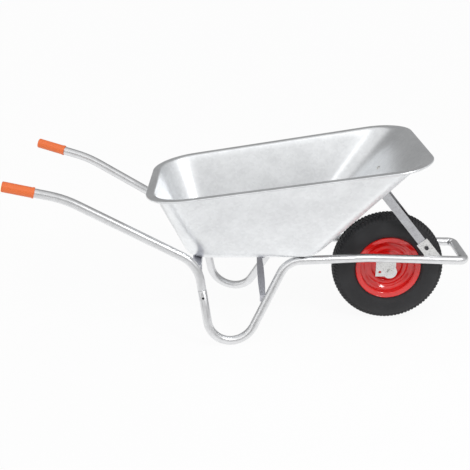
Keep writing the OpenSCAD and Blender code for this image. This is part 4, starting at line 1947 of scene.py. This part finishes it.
@dataclass(frozen=True)
class Wheel:
    """The pneumatic wheel: tyre with its tread, pressed rim halves and hub.

    Places are in millimetres, as radius and place along the axle to the left. A third number is
    a corner's radius in the dish, and a block's height over its root in the tread.

    Attributes:
        nodes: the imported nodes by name.
        outer: the left half of the carcass, from its bead to the crown.
        cavity: the middle of the tyre's cavity, its radius and half the width of its mouth.
        cavity_steps: the steps of half the cavity.
        carcass_steps: the steps of the carcass about the axle.
        dish: the outer face of the left rim half, from the hub to the flange.
        rim_sheet: the thickness of the rim's sheet.
        rim_steps: the steps of each of its bends, and of a rim about the axle.
        soft: the width of the rounding of hub and bushes.
        shoulder: the crest of an outermost block.
        middle: the crest of a block beside the centre.
        centre: the crest of a block on the centre.
        lugs: the blocks in a ring.
        lug_bevel: how much lower a block's ends are, and how much narrower on each side.
        lug_edge: the width and height of the rounding along a block's sides.
        lug_draft: how much of that width is taken off below the rounding.
        tree: the tree that makes a ring of blocks.
    """

    nodes: dict[str, bpy.types.Object]
    outer: tuple[Pair, ...] = (
        (101.7, 13.2),
        (101.7, 27.5),
        (117.9, 27.5),
        (118.0, 33.5),
        (120.5, 37.4),
        (123.4, 39.9),
        (124.6, 41.8),
        (126.4, 42.4),
        (128.4, 43.2),
        (134.0, 45.8),
        (142.0, 48.1),
        (151.0, 49.0),
        (160.0, 48.2),
        (168.0, 46.2),
        (175.0, 43.6),
        (178.0, 42.2),
        (178.8, 41.4),
        (182.0, 40.2),
        (186.0, 38.6),
        (188.6, 37.0),
        (190.6, 33.5),
        (193.0, 27.5),
        (195.0, 19.0),
        (196.2, 9.0),
        (196.5, 0.0),
    )
    cavity: Point = (148.0, 40.0, 13.0)
    cavity_steps: int = 14
    carcass_steps: int = 168
    dish: tuple[Point, ...] = (
        (17.03, 0.0, 0.0),
        (53.8, 0.0, 4.0),
        (59.9, 9.0, 4.0),
        (66.0, 10.5, 5.0),
        (75.1, 6.5, 5.0),
        (80.2, 6.5, 4.0),
        (88.3, 13.0, 5.0),
        (96.6, 13.0, 2.5),
        (99.1, 15.5, 2.5),
        (99.1, 27.5, 3.0),
        (101.5, 30.0, 3.0),
        (115.0, 30.0, 4.0),
        (117.5, 32.5, 0.0),
    )
    rim_sheet: float = 2.4
    rim_steps: tuple[int, int] = (6, 144)
    soft: float = 0.4
    shoulder: tuple[Point, ...] = (
        (198.0, 22.6, 5.0),
        (196.6, 27.0, 5.0),
        (193.6, 33.0, 5.0),
        (190.2, 38.0, 5.0),
        (185.0, 40.8, 4.0),
    )
    middle: tuple[Point, ...] = ((199.5, 9.6, 5.0), (199.0, 14.5, 5.0), (198.3, 19.6, 5.0))
    centre: tuple[Point, ...] = ((199.7, -6.8, 5.0), (199.95, 0.0, 5.0), (199.7, 6.8, 5.0))
    lugs: int = 92
    lug_bevel: Pair = (0.9, 0.27)
    lug_edge: Pair = (1.1, 1.0)
    lug_draft: float = 0.3
    tree: bpy.types.NodeTree = field(default_factory=ring_tree)

    def _cavity(self) -> list[Pair]:
        """The inside of the carcass.

        Returns:
            Its points, from the right bead round to the left one.
        """
        middle, radius, mouth = self.cavity
        start = math.asin(mouth / radius)
        steps = self.cavity_steps
        angles = [start + (math.pi - start) * i / steps for i in range(steps + 1)]
        half = [(middle - radius * math.cos(a), radius * math.sin(a)) for a in angles]
        return mirrored(half) + half[-2::-1]

    def _carcass(self) -> None:
        """Makes the carcass."""
        outline = mirrored(self.outer) + list(self.outer[-2::-1]) + self._cavity()[::-1]
        shape = turned(outline, self.carcass_steps)
        hand_over(shape.piece("tyre_carcass", RUBBER), Body.WHEEL, Slot.TYRE, "tyre")

    def _lug(self, line: Sequence[Point], half: float, skew: float) -> Shape:
        """One block of the tread about the wheel's X axis, relative to the axle.

        Args:
            line: the block's crest.
            half: half its width round the tyre.
            skew: how far it leans round the tyre for each millimetre along the axle.

        Returns:
            The block's shape.
        """
        middle = (line[0][1] + line[-1][1]) / 2
        rows = []
        for number, (r, a, h) in enumerate(line):
            drop, inset = self.lug_bevel if number in (0, len(line) - 1) else (0.0, 0.0)
            top = r - drop
            width, height = self.lug_edge
            edge = half - width - inset
            side = half - self.lug_draft
            low = top - height
            section = ((-half, r - h), (-side, low), (-edge, top), (edge, top), (side, low), (half, r - h))
            row = []
            for t, q in section:
                turn = (t + skew * (a - middle)) / r
                row.append(Vector((q * math.cos(turn), a, q * math.sin(turn))) * MM)
            rows.append(row)
        shape = Shape()
        shape.cap(shape.loft(rows))
        return shape

    def _tread(self) -> None:
        """Makes the rings of tread blocks."""
        turn = math.tau / self.lugs
        for name, line, half, skew, start in (
            ("shoulder_right", mirrored(self.shoulder), 4.3, -0.12, 0.0),
            ("shoulder_left", self.shoulder, 4.3, 0.12, turn / 2),
            ("middle_right", mirrored(self.middle), 4.0, 0.55, turn / 2),
            ("middle_left", self.middle, 4.0, -0.55, 0.0),
            ("centre", self.centre, 3.8, 0.35, turn / 4),
        ):
            template = self._lug(line, half, skew).piece("lug_template", RUBBER)
            ring = {"count": self.lugs, "start": start, "centre": AXLE}
            host = points_object(f"tread_{name}", [AXLE])
            grown_by(host, self.tree, template=template, material=RUBBER.material(), **ring)
            discard(template)
            hand_over(host, Body.WHEEL, Slot.TYRE, "tyre")

    def _rim(self, side: Side) -> None:
        """Makes one half of the rim.

        Args:
            side: the half's side.
        """
        bend_steps, steps = self.rim_steps
        section = sheet_section(filleted(self.dish, bend_steps), self.rim_sheet)
        shape = turned([(r, side.value * a) for r, a in section], steps)
        piece = shape.piece(f"rim_dish_{side.word}", RED, sharp=50)
        hand_over(piece, Body.WHEEL, Slot.RIM, f"rim_{side.word}")

    def build(self) -> None:
        """Makes the wheel's pieces."""
        self._carcass()
        self._tread()
        for side in Side:
            self._rim(side)
            bush = f"bush_{side.word}"
            hand_over(softened(self.nodes, bush, NYLON, self.soft), Body.WHEEL, Slot.BUSH, bush)
        hub = softened(self.nodes, "hub_tube", RED, self.soft)
        hand_over(hub, Body.WHEEL, Slot.RIM, "hub_tube")


# ---------------------------------------------------------------- studio

WHITE = (1.0, 1.0, 1.0, 1.0)
PALE = (0.90, 0.90, 0.90, 1.0)


@dataclass(frozen=True)
class Studio:
    """The white ground, the light by direction and the camera.

    Attributes:
        ground: half the ground's width.
        ground_glow: how much of the ground's own light the camera sees.
        path: where the ground's reflection dims beside the barrow, from the middle plane out.
        path_dim: the share of it that is left outside.
        low_edge: where the light starts, in degrees about X from level towards the camera.
        far_edge: where it ends beyond the top.
        band: where its bright lower band gives way to the top, and the strength of each.
        front: where it dims ahead of the barrow, by direction along X, and the strengths there.
        fill: the light that comes from everywhere.
        matt_lift: how much more light matt surfaces get.
        lamp_at: the softbox's place from the axle.
        lamp_size: its width and height.
        lamp_power: its power in watts.
        camera_at: the camera's place.
        camera_turn: its turn about X, Y and Z, in degrees.
        lens: its focal length in millimetres, for a sensor of 36 mm.
    """

    ground: float = 30.0
    ground_glow: float = 0.93
    path: Pair = (0.32, 0.42)
    path_dim: float = 0.25
    low_edge: Pair = (17, 39)
    far_edge: Pair = (98, 120)
    band: tuple[float, ...] = (38, 54, 1.18, 0.48)
    front: tuple[float, ...] = (0.12, 0.42, 1.0, 0.45)
    fill: float = 0.34
    matt_lift: float = 0.20
    lamp_at: Point = (1.26, -1.74, 2.1)
    lamp_size: Pair = (0.85, 0.42)
    lamp_power: float = 20.0
    camera_at: Point = (-0.0555, -2.667, 1.369)
    camera_turn: Point = (68.45, 0.0, -0.25)
    lens: float = 61.4

    def _ground(self) -> None:
        """A large pale ground that shows white and keeps a faint shadow."""
        size = self.ground
        corners = [(-size, -size, 0), (size, -size, 0), (size, size, 0), (-size, size, 0)]
        mesh = bpy.data.meshes.new("ground")
        mesh.from_pydata(corners, [], [(0, 1, 2, 3)])
        made = bpy.data.materials.new("ground")
        made.use_nodes = True
        shop = ShaderShop(made.node_tree)
        glow = shop.add("ShaderNodeEmission", {}, {"Color": WHITE, "Strength": 1.0})
        matt = shop.add("ShaderNodeBsdfDiffuse", {}, {"Color": PALE})
        seen = shop.add("ShaderNodeLightPath", output="Is Camera Ray")
        glossy = shop.add("ShaderNodeLightPath", output="Is Glossy Ray")
        aside = abs(shop.add("ShaderNodeSeparateXYZ", {}, {0: shop.place()}, "Y"))
        share = seen * self.ground_glow + glossy * aside.ramp(*self.path, 1.0, self.path_dim)
        surface = shop.add("ShaderNodeMixShader", {}, {0: share, 1: matt, 2: glow})
        shop.end("ShaderNodeOutputMaterial", {"Surface": surface})
        mesh.materials.append(made)
        linked("ground", mesh)

    def _world(self) -> None:
        """A wide soft light overhead and towards the camera, dim elsewhere, and white where it shows."""
        world = bpy.data.worlds.new("studio")
        world.use_nodes = True
        shop = ShaderShop(world.node_tree)
        way = shop.add("ShaderNodeTexCoord", output="Generated")
        forward, across, height = (
            shop.add("ShaderNodeSeparateXYZ", {}, {0: way}, axis) for axis in ("X", "Y", "Z")
        )
        turn = shop.add("ShaderNodeMath", {"operation": "ARCTAN2"}, {0: height, 1: across * -1.0})
        degrees = turn * (180 / math.pi)
        dome = degrees.ramp(*self.low_edge) * degrees.ramp(*self.far_edge, 1.0, 0.0)
        dome = dome * degrees.ramp(*self.band) * forward.ramp(*self.front)
        seen = shop.add("ShaderNodeLightPath", output="Is Camera Ray")
        soft = shop.add("ShaderNodeLightPath", output="Is Diffuse Ray")
        glow = (dome + self.fill) * (soft * self.matt_lift + 1.0)
        light = glow * (1.0 - seen) + seen
        back = shop.add("ShaderNodeBackground", {}, {"Color": WHITE, "Strength": light})
        shop.end("ShaderNodeOutputWorld", {"Surface": back})
        bpy.context.scene.world = world

    def _lamp(self) -> None:
        """A softbox in front of the wheel, for the highlights on paint and zinc."""
        lamp = bpy.data.lights.new("softbox", "AREA")
        lamp.shape = "RECTANGLE"
        lamp.size, lamp.size_y = self.lamp_size
        lamp.energy = self.lamp_power
        box = linked("softbox", lamp)
        box.location = AXLE + Vector(self.lamp_at)
        box.rotation_euler = (AXLE - box.location).to_track_quat("-Z", "Y").to_euler()

    def _camera(self) -> None:
        """The camera, from the barrow's right side and a little above."""
        lens = bpy.data.cameras.new("camera")
        lens.sensor_width = 36.0
        lens.lens = self.lens
        camera = linked("camera", lens)
        camera.location = self.camera_at
        camera.rotation_euler = tuple(math.radians(angle) for angle in self.camera_turn)
        bpy.context.scene.camera = camera

    def build(self) -> None:
        """Sets up the studio."""
        self._ground()
        self._world()
        self._lamp()
        self._camera()
        bpy.context.scene.view_settings.view_transform = "Standard"


def dress(nodes: dict[str, bpy.types.Object], finishes: dict[str, tuple[Finish, Slot]]) -> None:
    """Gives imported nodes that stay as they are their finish.

    Args:
        nodes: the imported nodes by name.
        finishes: each node's finish and slot.
    """
    for name, (finish, slot) in finishes.items():
        node = nodes[name]
        node.data.materials.clear()
        node.data.materials.append(finish.material())


def main() -> None:
    """Builds the scene."""
    logging.basicConfig(level=logging.INFO, format="%(message)s")
    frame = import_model()
    nodes = frame["nodes"]
    Tray().build()
    FrameTube().build()
    for side in Side:
        Handle(side).build()
    Plates(nodes).build()
    Fasteners().build()
    Wheel(nodes).build()
    Welds().build()
    dress(
        nodes,
        {
            "inner_tube": (SOFT_BLACK, Slot.RUBBER),
            "valve_stem": (SOFT_BLACK, Slot.RUBBER),
            "valve_cap": (NYLON, Slot.BUSH),
            "tray_pads": (SOFT_BLACK, Slot.RUBBER),
            "axle_spacers": (ZINC, Slot.ZINC),
        },
    )
    Studio().build()


if __name__ == "__main__":
    main()
